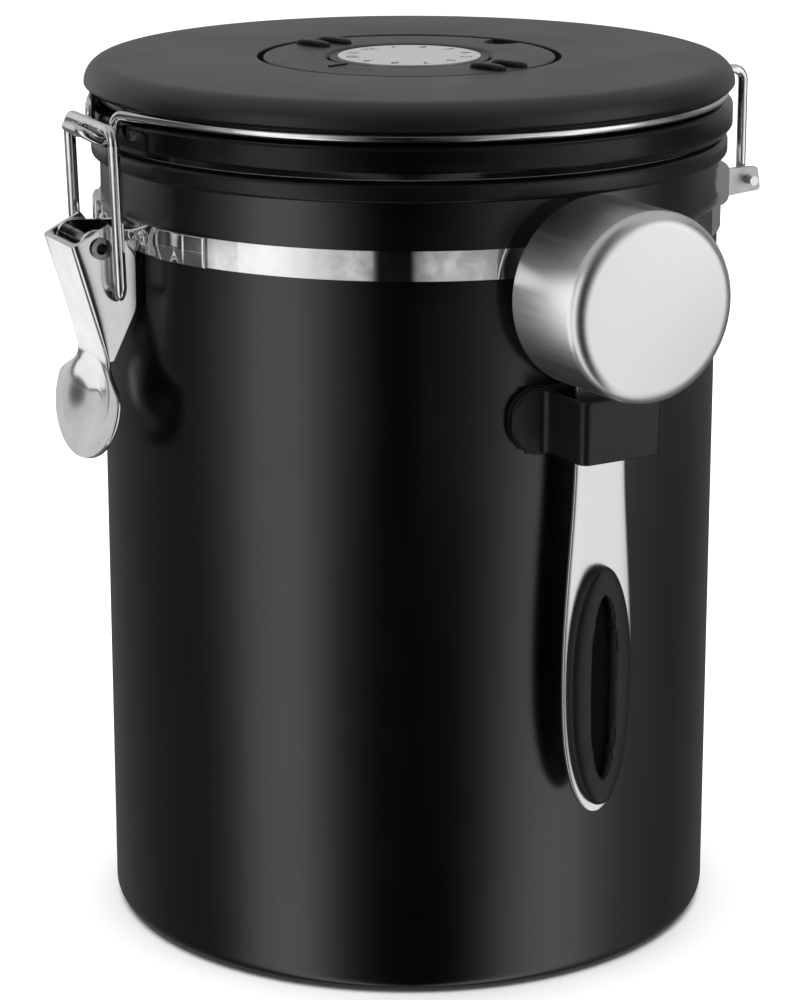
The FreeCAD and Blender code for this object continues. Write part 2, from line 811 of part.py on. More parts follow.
def make_lid():
    tray = new_body("lid_tray")
    gasket_top = web_low - size.gasket_rise
    plug_radius = mouth_radius - size.plug_clearance
    plug_low = collar_top - size.plug_depth
    revolve(tray, [
        (size.valve_bore, web_low),
        (plug_radius - size.plug_wall, web_low),
        (plug_radius - size.plug_wall, plug_low),
        (plug_radius, plug_low),
        (plug_radius, gasket_top),
        (skirt_lip_inside, gasket_top),
        (skirt_lip_inside, skirt_lip_low),
        (skirt_lip_radius, skirt_lip_low),
        (skirt_radius, skirt_low),
        (skirt_radius, skirt_high),
        (groove_radius + size.groove_mouth_width, groove_low),
        (groove_radius, groove_low),
        (groove_radius, groove_high),
        (rim_inside, groove_high),
        (rim_inside, web_high),
        (size.valve_bore, web_high),
    ])
    gasket = new_body("lid_gasket")
    gasket_high = gasket_top - size.seat_gap
    gasket_low = gasket_high - size.gasket_height
    gasket_outside = skirt_lip_inside - size.part_gap
    gasket_inside = plug_radius + size.gasket_gap
    revolve(gasket, [
        (gasket_inside, gasket_low),
        (gasket_outside, gasket_low),
        (gasket_outside, gasket_high),
        (gasket_inside, gasket_high),
    ])
    cover = new_body("lid_cover")
    well = size.dial_radius + size.dial_clearance
    under = cover_top - size.cover_wall
    ledge_low = ledge_top - size.dial_floor
    revolve(cover, [
        (well, cover_top),
        (cover_radius, cover_top, size.cover_round),
        (cover_radius, groove_high + size.cover_lip_rise),
        (cover_radius - size.cover_lip_inset, groove_high),
        (rim_inside, groove_high),
        (rim_inside, under),
        (well + size.cover_wall, under),
        (well + size.cover_wall, ledge_low),
        (size.dial_ledge_inside, ledge_low),
        (size.dial_ledge_inside, ledge_top),
        (well, ledge_top),
    ])


def make_dial():
    dial = new_body("date_dial")
    bore = size.hub_radius + size.part_gap
    eye = size.hub_flange_radius + size.part_gap
    revolve(dial, [
        (bore, dial_low),
        (size.dial_radius, dial_low),
        (size.dial_radius, dial_top),
        (size.dial_slope_radius, dial_top),
        (eye, dial_top - size.dial_slope_drop),
        (eye, dial_low + size.dial_lip),
        (bore, dial_low + size.dial_lip),
    ])

    def rib_outlines(sketch):
        bend = size.rib_round
        for end in (1, -1):
            for side in (1, -1):
                middle = size.rib_spacing / 2 * side
                near, far = size.rib_inside * end, size.rib_outside * end
                draw_outline(sketch, [
                    (near, middle - size.rib_width / 2, bend),
                    (far, middle - size.rib_width / 2, bend),
                    (far, middle + size.rib_width / 2, bend),
                    (near, middle + size.rib_width / 2, bend),
                ])

    def pointer_outline(sketch):
        half = size.pointer_width / 2
        draw_outline(sketch, [
            (-half, size.pointer_inside),
            (half, size.pointer_inside),
            (half, size.pointer_outside),
            (-half, size.pointer_outside),
        ])

    def notch_outline(sketch):
        half = size.notch_width / 2
        far = size.dial_radius + size.notch_width
        draw_outline(sketch, [
            (-half, -far),
            (half, -far),
            (half, -size.notch_inside, half * ROUND_END),
            (-half, -size.notch_inside, half * ROUND_END),
        ])

    pad(dial, "XY_Plane", rib_outlines, size.rib_rise, dial_top)
    pad(dial, "XY_Plane", pointer_outline, size.pointer_rise, dial_top)
    pocket(dial, "XY_Plane", notch_outline, size.notch_depth, dial_top)
    place(dial, size.dial_turn)

    hub = new_body("dial_hub")
    revolve(hub, [
        (size.hub_cavity_radius, web_high),
        (size.hub_radius, web_high),
        (size.hub_radius, hub_flange_low),
        (size.hub_flange_radius, hub_flange_low),
        (size.hub_flange_radius, hub_top),
        (0, hub_top),
        (0, hub_top - size.hub_roof),
        (size.hub_cavity_radius, hub_top - size.hub_roof),
    ])
    face = new_body("dial_face")
    revolve(face, [
        (0, hub_top),
        (size.face_radius, hub_top),
        (size.face_radius, hub_top + size.face_thickness),
        (0, hub_top + size.face_thickness),
    ])


def make_valve():
    seat = new_body("valve_seat")
    plug = size.valve_bore - size.valve_fit
    seat_low = web_low - size.seat_flange
    filter_top = seat_low + size.filter_depth
    revolve(seat, [
        (0, filter_top),
        (size.filter_radius, filter_top),
        (size.filter_radius, seat_low),
        (size.seat_flange_radius, seat_low),
        (size.seat_flange_radius, web_low),
        (plug, web_low),
        (plug, seat_top),
        (0, seat_top),
    ])

    def vents(sketch):
        count = 6
        for step in range(count):
            angle = as_size(step * 360 / count)
            draw_circle(sketch, size.vent_circle * cosine(angle), size.vent_circle * sine(angle),
                        size.vent_radius)

    pocket(seat, "XY_Plane", vents, seat_top - seat_low, seat_top)

    screen = new_body("valve_filter")
    revolve(screen, [
        (0, seat_low),
        (size.filter_radius - size.valve_fit, seat_low),
        (size.filter_radius - size.valve_fit, filter_top - size.valve_fit),
        (0, filter_top - size.valve_fit),
    ])
    disc = new_body("valve_disc")
    disc_low = seat_top + size.valve_disc_lift
    disc_high = disc_low + size.valve_disc_thickness
    revolve(disc, [
        (0, disc_low),
        (size.valve_disc_radius, disc_low),
        (size.valve_disc_radius, disc_high),
        (0, disc_high),
    ])
    cap = new_body("valve_cap")
    cap_inside = size.valve_disc_radius + size.part_gap * 2
    cap_under = disc_high + size.valve_travel + size.valve_disc_lift
    revolve(cap, [
        (size.cap_vent_radius, cap_under),
        (cap_inside, cap_under),
        (cap_inside, seat_top),
        (cap_inside + size.cap_wall, seat_top),
        (cap_inside + size.cap_wall, cap_under + size.cap_roof),
        (size.cap_vent_radius, cap_under + size.cap_roof),
    ])


def make_holder():
    half_wide = holder_outside * sine(size.holder_half_angle)
    pad_piece = new_body("holder_pad")
    strap(pad_piece, size.pad_thickness, size.holder_half_angle, holder_bottom, holder_top)
    holder = new_body("scoop_holder")
    revolve(holder, [
        (holder_inside, holder_bottom),
        (holder_outside, holder_bottom),
        (holder_outside, holder_top),
        (holder_inside, holder_top),
    ], size.holder_half_angle * 2)
    for body in (pad_piece, holder):
        trim_corners(body, half_wide, holder_bottom, size.holder_round)
        trim_corners(body, half_wide, holder_top, size.holder_round, below=False)
    half = loop_half
    root = holder_outside - half * half / (size.body_radius * 2) - size.loop_bite

    def loop_outline(sketch):
        inner = half - size.loop_wall
        front = loop_out - size.loop_wall
        bend = size.loop_round - size.loop_wall
        draw_outline(sketch, [
            (root, -half),
            (loop_out, -half, size.loop_round),
            (loop_out, half, size.loop_round),
            (root, half),
            (root, inner),
            (front, inner, bend),
            (front, -inner, bend),
            (root, -inner),
        ])

    pad(holder, "XY_Plane", loop_outline, loop_top - loop_bottom, loop_bottom)
    place(pad_piece, size.scoop_turn)
    place(holder, size.scoop_turn)


def make_scoop():
    cup = new_body("scoop_cup")
    inside = size.cup_radius - size.cup_wall
    floor = size.cup_depth - size.cup_wall
    revolve(cup, [
        (inside, 0),
        (size.cup_radius, 0),
        (size.cup_radius, size.cup_depth, size.cup_round),
        (0, size.cup_depth),
        (0, floor),
        (inside, floor, size.cup_round - size.cup_wall),
    ])
    place(cup, size.scoop_turn,
          (mouth_out * cosine(size.scoop_turn), mouth_out * sine(size.scoop_turn), cup_up), ON_X)

    handle = new_body("scoop_handle")
    neck, wide, end = size.handle_neck_half, size.handle_half, size.handle_end_half

    def sweep(lower, higher, turn):
        """The handle's wide bend, limited by the shorter of the two sides next to it."""
        return smaller(size.handle_sweep, smaller(lower, higher) * (BEND_SHARE * 2) / turn)

    def handle_outline(sketch):
        top = cup_up - size.cup_radius + size.handle_wrap
        neck_low = loop_bottom - size.handle_neck_drop
        above = neck_low - handle_wide_up
        lean = (wide - neck) / above
        neck_bend = sweep(above, top - neck_low, lean)
        wide_bend = sweep(size.handle_tip_length, above, lean + (wide - end) / size.handle_tip_length)
        draw_outline(sketch, [
            (-neck, top),
            (-neck, neck_low, neck_bend),
            (-wide, handle_wide_up, wide_bend),
            (-end, handle_low, size.handle_end_round),
            (end, handle_low, size.handle_end_round),
            (wide, handle_wide_up, wide_bend),
            (neck, neck_low, neck_bend),
            (neck, top),
        ])

    pad(handle, "YZ_Plane", handle_outline, size.handle_thickness, handle_inside)
    pocket(handle, "YZ_Plane",
           lambda sketch: draw_circle(sketch, 0, cup_up, size.cup_radius + size.seat_gap),
           size.handle_thickness, handle_outside)
    place(handle, size.scoop_turn)

    grip = new_body("scoop_grip")

    def leaf(inset, low, high):
        wide = size.grip_half - inset
        top, end = size.grip_top_half - inset, size.grip_end_half - inset / 2
        bend = size.grip_round - inset / 2
        below, above = handle_wide_up - low, high - handle_wide_up
        wide_bend = sweep(below, above, (wide - end) / below + (wide - top) / above)
        return lambda sketch: draw_outline(sketch, [
            (-end, low, bend), (end, low, bend), (wide, handle_wide_up, wide_bend),
            (top, high, top * ROUND_END), (-top, high, top * ROUND_END),
            (-wide, handle_wide_up, wide_bend)])

    grip_low = handle_low + size.grip_margin
    grip_high = grip_low + size.grip_length
    pad(grip, "YZ_Plane", leaf(0, grip_low, grip_high), size.grip_thickness, handle_outside)
    pocket(grip, "YZ_Plane",
           leaf(size.recess_inset, grip_low + size.recess_margin, grip_high - size.recess_margin),
           size.recess_depth, handle_outside + size.grip_thickness)
    place(grip, size.scoop_turn)


def write_pieces():
    """Stops if anything failed to build, then writes one STEP file for each piece."""
    doc.recompute()
    for item in doc.Objects:
        if "Invalid" in item.State or "Error" in item.State:
            raise RuntimeError(f"{item.Label} failed: {item.State}")
    for piece in pieces:
        if piece.Shape.isNull() or not piece.Shape.isValid():
            raise RuntimeError(f"{piece.Label} has no valid shape")
    os.makedirs("parts", exist_ok=True)
    for piece in pieces:
        piece.Shape.exportStep(f"parts/{piece.Label}.step")
        print(f"{piece.Label}: {len(piece.Shape.Solids)} solid, {piece.Shape.Volume:.1f} mm3")


for make in (make_can, make_bands, make_brackets, make_lever, make_hasp, make_lid, make_bail,
             make_dial, make_valve, make_holder, make_scoop):
    make()
write_pieces()
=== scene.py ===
"""Looks of a coffee canister with a clamped lid, a date dial, a one-way valve and a clipped-on scoop.

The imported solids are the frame, in metres. The forms below are in millimetres, the settings and the stage
in metres. The clasp is at -X, the hinge at +X and the scoop near -Y.
"""
import math

import bmesh
import bpy
import numpy as np
from bpy.props import FloatProperty, FloatVectorProperty, IntProperty, PointerProperty
from mathutils import Euler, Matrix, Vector


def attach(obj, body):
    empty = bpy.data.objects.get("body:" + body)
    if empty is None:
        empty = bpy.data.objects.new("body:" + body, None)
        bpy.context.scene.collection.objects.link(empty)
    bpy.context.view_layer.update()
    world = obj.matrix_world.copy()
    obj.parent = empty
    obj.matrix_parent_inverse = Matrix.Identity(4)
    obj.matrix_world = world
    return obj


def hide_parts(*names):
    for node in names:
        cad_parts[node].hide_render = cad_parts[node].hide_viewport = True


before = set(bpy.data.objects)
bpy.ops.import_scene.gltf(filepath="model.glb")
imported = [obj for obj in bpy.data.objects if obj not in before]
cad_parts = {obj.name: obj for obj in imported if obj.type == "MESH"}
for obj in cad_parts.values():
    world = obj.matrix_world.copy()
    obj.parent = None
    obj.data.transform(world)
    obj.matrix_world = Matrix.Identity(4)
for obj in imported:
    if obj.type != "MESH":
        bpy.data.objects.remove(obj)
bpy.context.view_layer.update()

bl_info = {
    "name": "Coffee canister looks",
    "version": (1, 0, 0),
    "blender": (4, 5, 0),
    "location": "3D View > Sidebar > Canister",
    "description": "Builds the surfaces, finishes and studio of a coffee canister round its solids",
    "category": "Object",
}

MM = 0.001
# edges that bend further than this many degrees stay sharp
SHARP = 38.0
# ways to close a patch, as (wrap rows, wrap columns, cap ends)
RING, POLES = (True, True, False), (True, False, False)
SLEEVE, CAPPED = (False, True, False), (False, True, True)

# can, collar and lid: corners as (radius, height, round)
CAN = [(0, 0, 0), (48, 0, 0.3), (48.2, 0.5, 0.2), (51.8, 0.5, 0.2), (52, 0, 0.3), (62.5, 0, 3.0),
       (62.5, 160, 0.25), (61.7, 160, 0.25), (61.7, 1.2, 2.2), (0, 1.2, 0)]
COLLAR = [(60.7, 160, 0.3), (62.55, 160, 0), (62.55, 158, 0.15), (64.2, 158, 0.8), (64.2, 162, 1.5),
          (60.7, 162, 0.6)]
COVER = [(30.6, 176.7, 0.3), (65.4, 176.7, 4.6), (65.4, 172, 0.5), (64.6, 171.2, 0.25), (60, 171.2, 0),
         (60, 174.7, 1.2), (32.6, 174.7, 0.6), (32.6, 171.9, 0.4), (22, 171.9, 0.3), (22, 173.5, 0.3),
         (30.6, 173.5, 0.3)]
SKIRT = [(13, 164.6, 0.2), (55.5, 164.6, 1.0), (55.5, 159.5, 0.6), (57.5, 159.5, 0.6), (57.5, 164.2, 0.3),
         (63.6, 164.2, 0.2), (63.6, 162.5, 0.15), (64.0, 162.5, 0.15), (65.1, 164.0, 0.7),
         (65.1, 168.3, 0.9), (63.0, 168.9, 0.25), (62.0, 168.9, 0.2), (62.0, 171.2, 0), (60, 171.2, 0),
         (60, 166.6, 0.8), (13, 166.6, 0.2)]
DIAL_TOP = 176.6
DIAL_EDGE = 29.4
# rings across the dial's flat top, close enough together for the notch
DIAL_FLAT = [(radius, DIAL_TOP, 0) for radius in np.linspace(28.7, 21.5, 30)]
DIAL = [(14.8, 173.8, 0.1), (DIAL_EDGE, 173.8, 0.2), (DIAL_EDGE, DIAL_TOP, 0.45), *DIAL_FLAT,
        (16.4, DIAL_TOP, 1.5), (16.4, 174.2, 0.1), (14.8, 174.2, 0.1)]
FACE_TOP = 176.65
FACE = [(0, 176.25, 0), (14.4, 176.25, 0), (14.4, FACE_TOP, 0.12), (0, FACE_TOP, 0)]
DIAL_TURN = 110.0
# thumb notch in the dial: inner radius, half width, depth, run of its sides, and how far down it works
NOTCH_INSIDE, NOTCH_HALF, NOTCH_DEPTH, NOTCH_SIDE, NOTCH_REACH = 23.4, 3.8, 1.6, 0.5, 0.6
# grip bars and pointer: half sizes, distances from the dial's middle, and the power of their rounding
BAR_HALF, BAR_OUT, BAR_ASIDE, BAR_POWER = (4.4, 1.4, 1.1), 24.4, 3.1, 3.2
POINTER_HALF, POINTER_OUT, POINTER_POWER = (0.45, 2.6, 0.3), 20.2, 6
# month numbers: radius that they stand on, type size for a height of one, and lift over the face
NUMBER_RING, TYPE_SIZE, INK_LIFT = 11.6, 1.35, 0.03
MONTH_STEP = 30

# faces that the rivets and folds stand on, and the rivets as (angle, face)
STRAP_FACE, PLATE_FACE, BAND_FACE = 63.15, 67.35, 63.45
RIVETS = [(170.4, STRAP_FACE), (189.6, STRAP_FACE), (2.8, PLATE_FACE), (-2.8, PLATE_FACE)]
RIVET_HEIGHT = 146.25
BAND_HEIGHTS = (143.4, 149.1)
# folds at the band's clasp end: angles from the clasp, rise, lap past the band, edge round and gap
FOLD_ANGLES = (14.4, 26.8)
FOLD_RISE, FOLD_LAP, FOLD_EDGE, FOLD_GAP = 0.75, 0.1, 0.2, 0.02
# in shares of the fold's run: its round, hollow (start, run, depth), steps (start, drop) and their run
FOLD_ROUND = 0.045
FOLD_HOLLOW = (0.07, 0.50, 0.30)
FOLD_DROPS, FOLD_STEP = [(0.60, 0.12), (0.975, 0.22)], 0.02
# in shares of its rise: its shoulders at the band's edges, and the least at its start
FOLD_SHOULDER, FOLD_LEAST = 0.7, 0.02

# clasp lever, as (outwards, height, round) in its own plane, and its two holes (outwards, height, radius)
SPINE = [(76.0, 145.1, 0), (69.2, 122.0, 0)]
CHEEK_EDGE = [(68.3, 149.0, 0), (63.2, 142.6, 4.0), (63.2, 132.2, 5.0), (68.1, 122.2, 0)]
LEVER_HALF = 8.5
LEVER_HOLES = [(70.2, 144.6, 1.56), (67.5, 135.2, 1.21)]
# thumb tab: waist it hangs from (outwards, height), lean in degrees, drop to its middle, and half sizes
TAB_WAIST = (69.2, 122.0)
TAB_LEAN, TAB_DROP = 11.5, 9.2
TAB_HALF = (16.6, 11.3)
# its neck: half width, bend, rise onto the spine, and the oval's change into it (start, run)
TAB_NECK, TAB_BEND, TAB_RISE = 8.0, 9.0, 4.0
TAB_CHANGE = (2.5, 6.5)
# how the neck lifts onto the spine and how its end dips into it (run, amount)
TAB_LIFT, TAB_DIP = (4.0, 0.05), (1.2, 0.25)
# dish pressed into the tab: half sizes, depth, and the share that its slope takes
DISH_HALF = (13.4, 9.2)
DISH_DEPTH, DISH_SLOPE = 2.4, 0.85

# scoop: its angle round the can, and the cup turned about an axis that points outwards
SCOOP_TURN = -84.5
CUP_CENTRE = (65.8, 140.3)
CUP = [(17.2, 0, 0.3), (18.1, 0, 0.35), (18.1, 21.0, 3.0), (0, 21.0, 0), (0, 20.1, 0), (17.2, 20.1, 2.1)]
CUP_TURNS = 200
# handle: its back, heights of its end, widest place and top, half widths, and its cut round the cup
HANDLE_BACK = 68.5
HANDLE_LOW, HANDLE_WIDE, HANDLE_TOP = 37.3, 66.0, 123.6
HANDLE_HALF, HANDLE_NECK, HANDLE_CUT = 7.9, 5.6, 18.12
# grip: the same, where its front starts, the half width below which it thins, and its almond hollow
GRIP_BACK = HANDLE_BACK + 1.2
GRIP_FRONT = GRIP_BACK + 0.05
GRIP_LOW, GRIP_WIDE, GRIP_TOP = 39.0, 64.0, 87.5
GRIP_HALF, GRIP_THIN = 7.2, 2.2
ALMOND_HALF, ALMOND_MARGIN, ALMOND_DEPTH = 3.1, 5.6, 1.9
# holder: path of its loop (outwards, aside, round), and its plate and tape (inside radius, thickness)
LOOP = [(63.2, -13.0, 0), (64.4, -8.85, 2.2), (76.7, -8.85, 1.35), (76.7, 8.85, 1.35), (64.4, 8.85, 2.2),
        (63.2, 13.0, 0)]
LOOP_HEIGHTS = (109.7, 121.9)
PLATE_HEIGHTS = (109.3, 122.3)
PLATE, TAPE = (63.35, 1.6), (62.56, 0.78)


def length_setting(name, description, default, low, high):
    """A length that a user may change, in metres."""
    return FloatProperty(name=name, description=description, default=default, min=low, max=high,
                         unit="LENGTH", subtype="DISTANCE")


def angle_setting(name, description, degrees):
    """An angle that a user may change."""
    return FloatProperty(name=name, description=description, default=math.radians(degrees),
                         unit="ROTATION", subtype="ANGLE")


def colour_setting(name, description, default):
    """A colour that a user may change."""
    return FloatVectorProperty(name=name, description=description, default=default, min=0, max=1, size=3,
                               subtype="COLOR")


def power_setting(name, description, default):
    """A lamp's power that a user may change, in watts."""
    return FloatProperty(name=name, description=description, default=default, min=0, unit="POWER")


class CanisterSizes(bpy.types.PropertyGroup):
    """How finely surfaces are laid out, and the sizes that a user may change."""

    turns: IntProperty(name="Turns", description="Steps round the large turned surfaces",
                       default=288, min=48, max=720)
    sheet: length_setting("Lever sheet", "Thickness of the folded clasp lever", 0.0011, 0.0004, 0.002)
    handle_thickness: length_setting("Handle", "Thickness of the scoop's handle", 0.0012, 0.0005, 0.003)
    grip_thickness: length_setting("Grip", "How far the grip stands out", 0.0024, 0.001, 0.004)
    numeral_height: length_setting("Numerals", "Height of the month numbers", 0.0026, 0.001, 0.004)


class CanisterColours(bpy.types.PropertyGroup):
    """Colours of the finishes."""

    coat: colour_setting("Can coat", "Satin coat of the can", (0.0022, 0.0022, 0.0024))
    cover: colour_setting("Lid top", "Matte top of the lid and dial", (0.009, 0.009, 0.0093))
    gloss: colour_setting("Lid skirt", "Glossy plastic of the lid", (0.003, 0.003, 0.003))
    steel: colour_setting("Steel", "Polished and brushed steel", (0.90, 0.90, 0.91))
    plastic: colour_setting("Black plastic", "Grip, holder and dial ribs", (0.007, 0.007, 0.0075))
    ink: colour_setting("Numbers", "Ink of the month numbers", (0.05, 0.05, 0.055))


class CanisterStudio(bpy.types.PropertyGroup):
    """Camera and studio light."""

    azimuth: angle_setting("Azimuth", "Camera's turn about the can", -25.84)
    pitch: angle_setting("Pitch", "How far the camera looks down", 15.637)
    place: FloatVectorProperty(name="Camera", description="Where the camera stands", subtype="TRANSLATION",
                               unit="LENGTH", size=3, default=(-0.2906, -0.5958, 0.2692))
    lens: FloatProperty(name="Lens", description="Focal length in millimetres", default=118.73, min=20,
                        max=300)
    overhead: power_setting("Overhead light", "Power of the large light above", 84.0)
    clasp_card: power_setting("Clasp card", "Power of the small card by the clasp", 0.037)
    cup_card: power_setting("Cup card", "Power of the card beside the scoop's cup", 0.60)
    surround: FloatProperty(name="Surround", description="Strength of the studio's walls", default=1.0,
                            min=0)


# surfaces

def cornered(corners, steps=9, closed=True):
    """A line through corners (across, up, round): each round is an arc that touches both its sides."""
    spots = np.array([corner[:2] for corner in corners], float)
    rounds = [corner[2] for corner in corners]
    runs = []
    for i, (spot, radius) in enumerate(zip(spots, rounds)):
        if radius <= 0 or (not closed and i in (0, len(spots) - 1)):
            runs.append(spot[None])
            continue
        back = spots[i - 1] - spot
        ahead = spots[(i + 1) % len(spots)] - spot
        back, ahead = back / np.linalg.norm(back), ahead / np.linalg.norm(ahead)
        half = 0.5 * np.arccos(np.clip(back @ ahead, -1, 1))
        middle = back + ahead
        centre = spot + middle / np.linalg.norm(middle) * radius / np.sin(half)
        start = spot + back * radius / np.tan(half) - centre
        turn = np.sign(back[1] * ahead[0] - back[0] * ahead[1])
        angle = np.arctan2(start[1], start[0]) + turn * np.linspace(0, np.pi - 2 * half, steps)
        runs.append(centre + radius * np.stack([np.cos(angle), np.sin(angle)], 1))
    return np.concatenate(runs)


def spaced(line, count):
    """The same line with points at even distances along it."""
    steps = np.linalg.norm(np.diff(line, axis=0), axis=1)
    along = np.concatenate([[0], np.cumsum(steps)])
    wanted = np.linspace(0, along[-1], count)
    return np.stack([np.interp(wanted, along, line[:, k]) for k in range(line.shape[1])], 1)


def crowded(count, power):
    """Shares from 0 to 1 that lie closer together near 0."""
    return np.linspace(0, 1, count) ** power


def full_turn(steps):
    """Even steps of angle once round."""
    return np.linspace(0, 2 * np.pi, steps, endpoint=False)


def turned(profile, turns):
    """Profile (r, z) round the Z axis: x = r cos a, y = r sin a for turns even steps of a."""
    angle = full_turn(turns)
    radius, height = profile[:, 0], profile[:, 1]
    return np.stack([np.outer(np.cos(angle), radius), np.outer(np.sin(angle), radius),
                     np.broadcast_to(height, (turns, len(height)))], -1)


def squircle(angle, power):
    """Unit superellipse at a polar angle: the direction over its own power-mean length."""
    c, s = np.cos(angle), np.sin(angle)
    length = (np.abs(c) ** power + np.abs(s) ** power) ** (1 / power)
    return c / length, s / length


def ease(value):
    """Smooth step: 3 v^2 - 2 v^3 between 0 and 1."""
    v = np.clip(value, 0, 1)
    return v * v * (3 - 2 * v)


def about_z(points, degrees):
    """Points turned about the Z axis."""
    a = math.radians(degrees)
    c, s = math.cos(a), math.sin(a)
    return points @ np.array([[c, s, 0], [-s, c, 0], [0, 0, 1]])


def stand(name, data):
    """A new object at the origin of the scene."""
    thing = bpy.data.objects.new(name, data)
    bpy.context.scene.collection.objects.link(thing)
    return thing


def as_mesh(thing):
    """A mesh of what an object comes to, with its modifiers or as text."""
    bpy.context.view_layer.update()
    graph = bpy.context.evaluated_depsgraph_get()
    return bpy.data.meshes.new_from_object(thing.evaluated_get(graph))


def points_of(mesh):
    """A mesh's points as rows of x, y and z."""
    spots = np.zeros(len(mesh.vertices) * 3)
    mesh.vertices.foreach_get("co", spots)
    return spots.reshape(-1, 3)


def surface(name, patches, sharp=SHARP):
    """One mesh from patches (grid of points in mm, wrap rows, wrap columns, cap ends)."""
    points, faces, first = [], [], 0
    for grid, wrap_rows, wrap_columns, capped in patches:
        rows, columns = grid.shape[:2]
        index = np.arange(rows * columns).reshape(rows, columns) + first
        i, j = np.meshgrid(np.arange(rows if wrap_rows else rows - 1),
                           np.arange(columns if wrap_columns else columns - 1), indexing="ij")
        after_i, after_j = (i + 1) % rows, (j + 1) % columns
        quads = np.stack([index[i, j], index[after_i, j], index[after_i, after_j], index[i, after_j]], -1)
        faces += quads.reshape(-1, 4).tolist()
        if capped:
            faces += [index[0][::-1].tolist(), index[-1].tolist()]
        points.append(grid.reshape(-1, 3))
        first += rows * columns
    mesh = bpy.data.meshes.new(name)
    mesh.from_pydata(np.concatenate(points) * MM, [], faces)
    sheet = bmesh.new()
    sheet.from_mesh(mesh)
    bmesh.ops.remove_doubles(sheet, verts=sheet.verts, dist=1e-7)
    bmesh.ops.recalc_face_normals(sheet, faces=sheet.faces)
    sheet.to_mesh(mesh)
    sheet.free()
    mesh.shade_smooth()
    mesh.set_sharp_from_angle(angle=math.radians(sharp))
    return stand(name, mesh)


def turned_piece(name, corners, closed=True):
    """A piece turned from corners, as a ring or, if not closed, from one pole to the other."""
    turns = bpy.context.scene.canister_sizes.turns
    return surface(name, [(turned(cornered(corners, closed=closed), turns), *(RING if closed else POLES))])


def settle(piece, body, slot, *nodes, recipe=None):
    """Gives a piece its finish, by recipe or slot, its body and the nodes that it stands for."""
    piece.data.materials.clear()
    piece.data.materials.append(finish(recipe or slot))
    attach(piece, body)
    if nodes:
        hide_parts(*nodes)


def dress(*nodes, recipe=None):
    """Gives each node a finish, by the recipe given or by its own slot's name."""
    for name in nodes:
        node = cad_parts.get(name)
        if node is None:
            raise RuntimeError(f"no node named {name}")
        for slot in node.material_slots:
            slot.material = finish(recipe or slot.material.name.split(".")[0])


# finishes

class Tree:
    """A node tree, with short calls to add nodes and to feed their sockets."""

    def __init__(self, tree):
        self.tree = tree

    def feed(self, node, inputs):
        """Joins each socket named to the output given for it, or sets it to the constant given."""
        for key, value in inputs.items():
            if isinstance(value, bpy.types.NodeSocket):
                self.tree.links.new(value, node.inputs[key])
            else:
                node.inputs[key].default_value = value

    def add(self, kind, inputs=None, **settings):
        """A new node with its settings, and its sockets fed."""
        node = self.tree.nodes.new(kind)
        for key, value in settings.items():
            setattr(node, key, value)
        self.feed(node, inputs or {})
        return node


class Nodes(Tree):
    """A material's node tree, with short calls for the patterns that the finishes share."""

    def __init__(self, name):
        self.material = bpy.data.materials.new(f"finish_{name}")
        self.material.use_nodes = True
        super().__init__(self.material.node_tree)
        self.shader = self.tree.nodes["Principled BSDF"]
        self.place = self.add("ShaderNodeTexCoord").outputs["Object"]

    def stretched(self, scale):
        """Object coordinates scaled before a pattern reads them."""
        return self.add("ShaderNodeMapping", {"Vector": self.place, "Scale": scale}).outputs["Vector"]

    def noise(self, scale, detail, rough=0.5, coords=None):
        node = self.add("ShaderNodeTexNoise", {"Vector": coords or self.place, "Scale": scale,
                                               "Detail": detail, "Roughness": rough})
        return node.outputs["Fac"]

    def cells(self, scale):
        node = self.add("ShaderNodeTexVoronoi", {"Vector": self.place, "Scale": scale})
        return node.outputs["Distance"]

    def stripes(self, scale, direction, kind="BANDS", waver=0.6):
        node = self.add("ShaderNodeTexWave", {"Vector": self.place, "Scale": scale, "Distortion": waver},
                        wave_type=kind)
        setattr(node, f"{kind.lower()}_direction", direction)
        return node.outputs["Fac"]

    def between(self, value, low, high, start=0.3, end=0.7):
        """The pattern's start..end range spread over low..high."""
        node = self.add("ShaderNodeMapRange", {"Value": value, "From Min": start, "From Max": end,
                                               "To Min": low, "To Max": high})
        return node.outputs["Result"]

    def tones(self, value, dark, light, start=0.35, end=0.65):
        """Colour from dark to light over the pattern's start..end range."""
        ramp = self.add("ShaderNodeValToRGB", {"Fac": value})
        first, last = ramp.color_ramp.elements
        first.position, last.position = start, end
        first.color, last.color = (*dark, 1), (*light, 1)
        return ramp.outputs["Color"]

    def relief(self, value, depth, strength):
        bump = self.add("ShaderNodeBump", {"Height": value, "Strength": strength, "Distance": depth})
        self.feed(self.shader, {"Normal": bump.outputs["Normal"]})

    def colour(self, socket):
        self.feed(self.shader, {"Base Color": socket})

    def roughness(self, socket):
        self.feed(self.shader, {"Roughness": socket})

    def layered(self, tones, drift, sheen, low, high, metallic=0.0, specular=0.5):
        """Colour from dark to light by one noise, and roughness from low to high by another."""
        self.colour(self.tones(self.noise(*drift), *tones))
        self.roughness(self.between(self.noise(*sheen), low, high))
        self.feed(self.shader, {"Metallic": metallic, "Specular IOR Level": specular})


def shades(colour, dark, light):
    """A darker and a lighter tone of a colour, by two factors."""
    return [tuple(min(1.0, part * factor) for part in colour) for factor in (dark, light)]


def coat_finish(n, colours):
    """Satin powder coat: slow drift of sheen, and a fine pebble a few tenths of a millimetre across."""
    n.layered(shades(colours.coat, 0.8, 1.3), (60, 4), (25, 3), 0.19, 0.24, specular=0.9)
    n.relief(n.noise(4200, 2), 0.00002, 0.30)


def collar_finish(n, colours):
    """Moulded black ring, smoother than the can."""
    n.layered(shades(colours.gloss, 0.8, 1.5), (90, 3), (70, 3), 0.24, 0.32)
    n.relief(n.noise(2600, 2), 0.00001, 0.3)


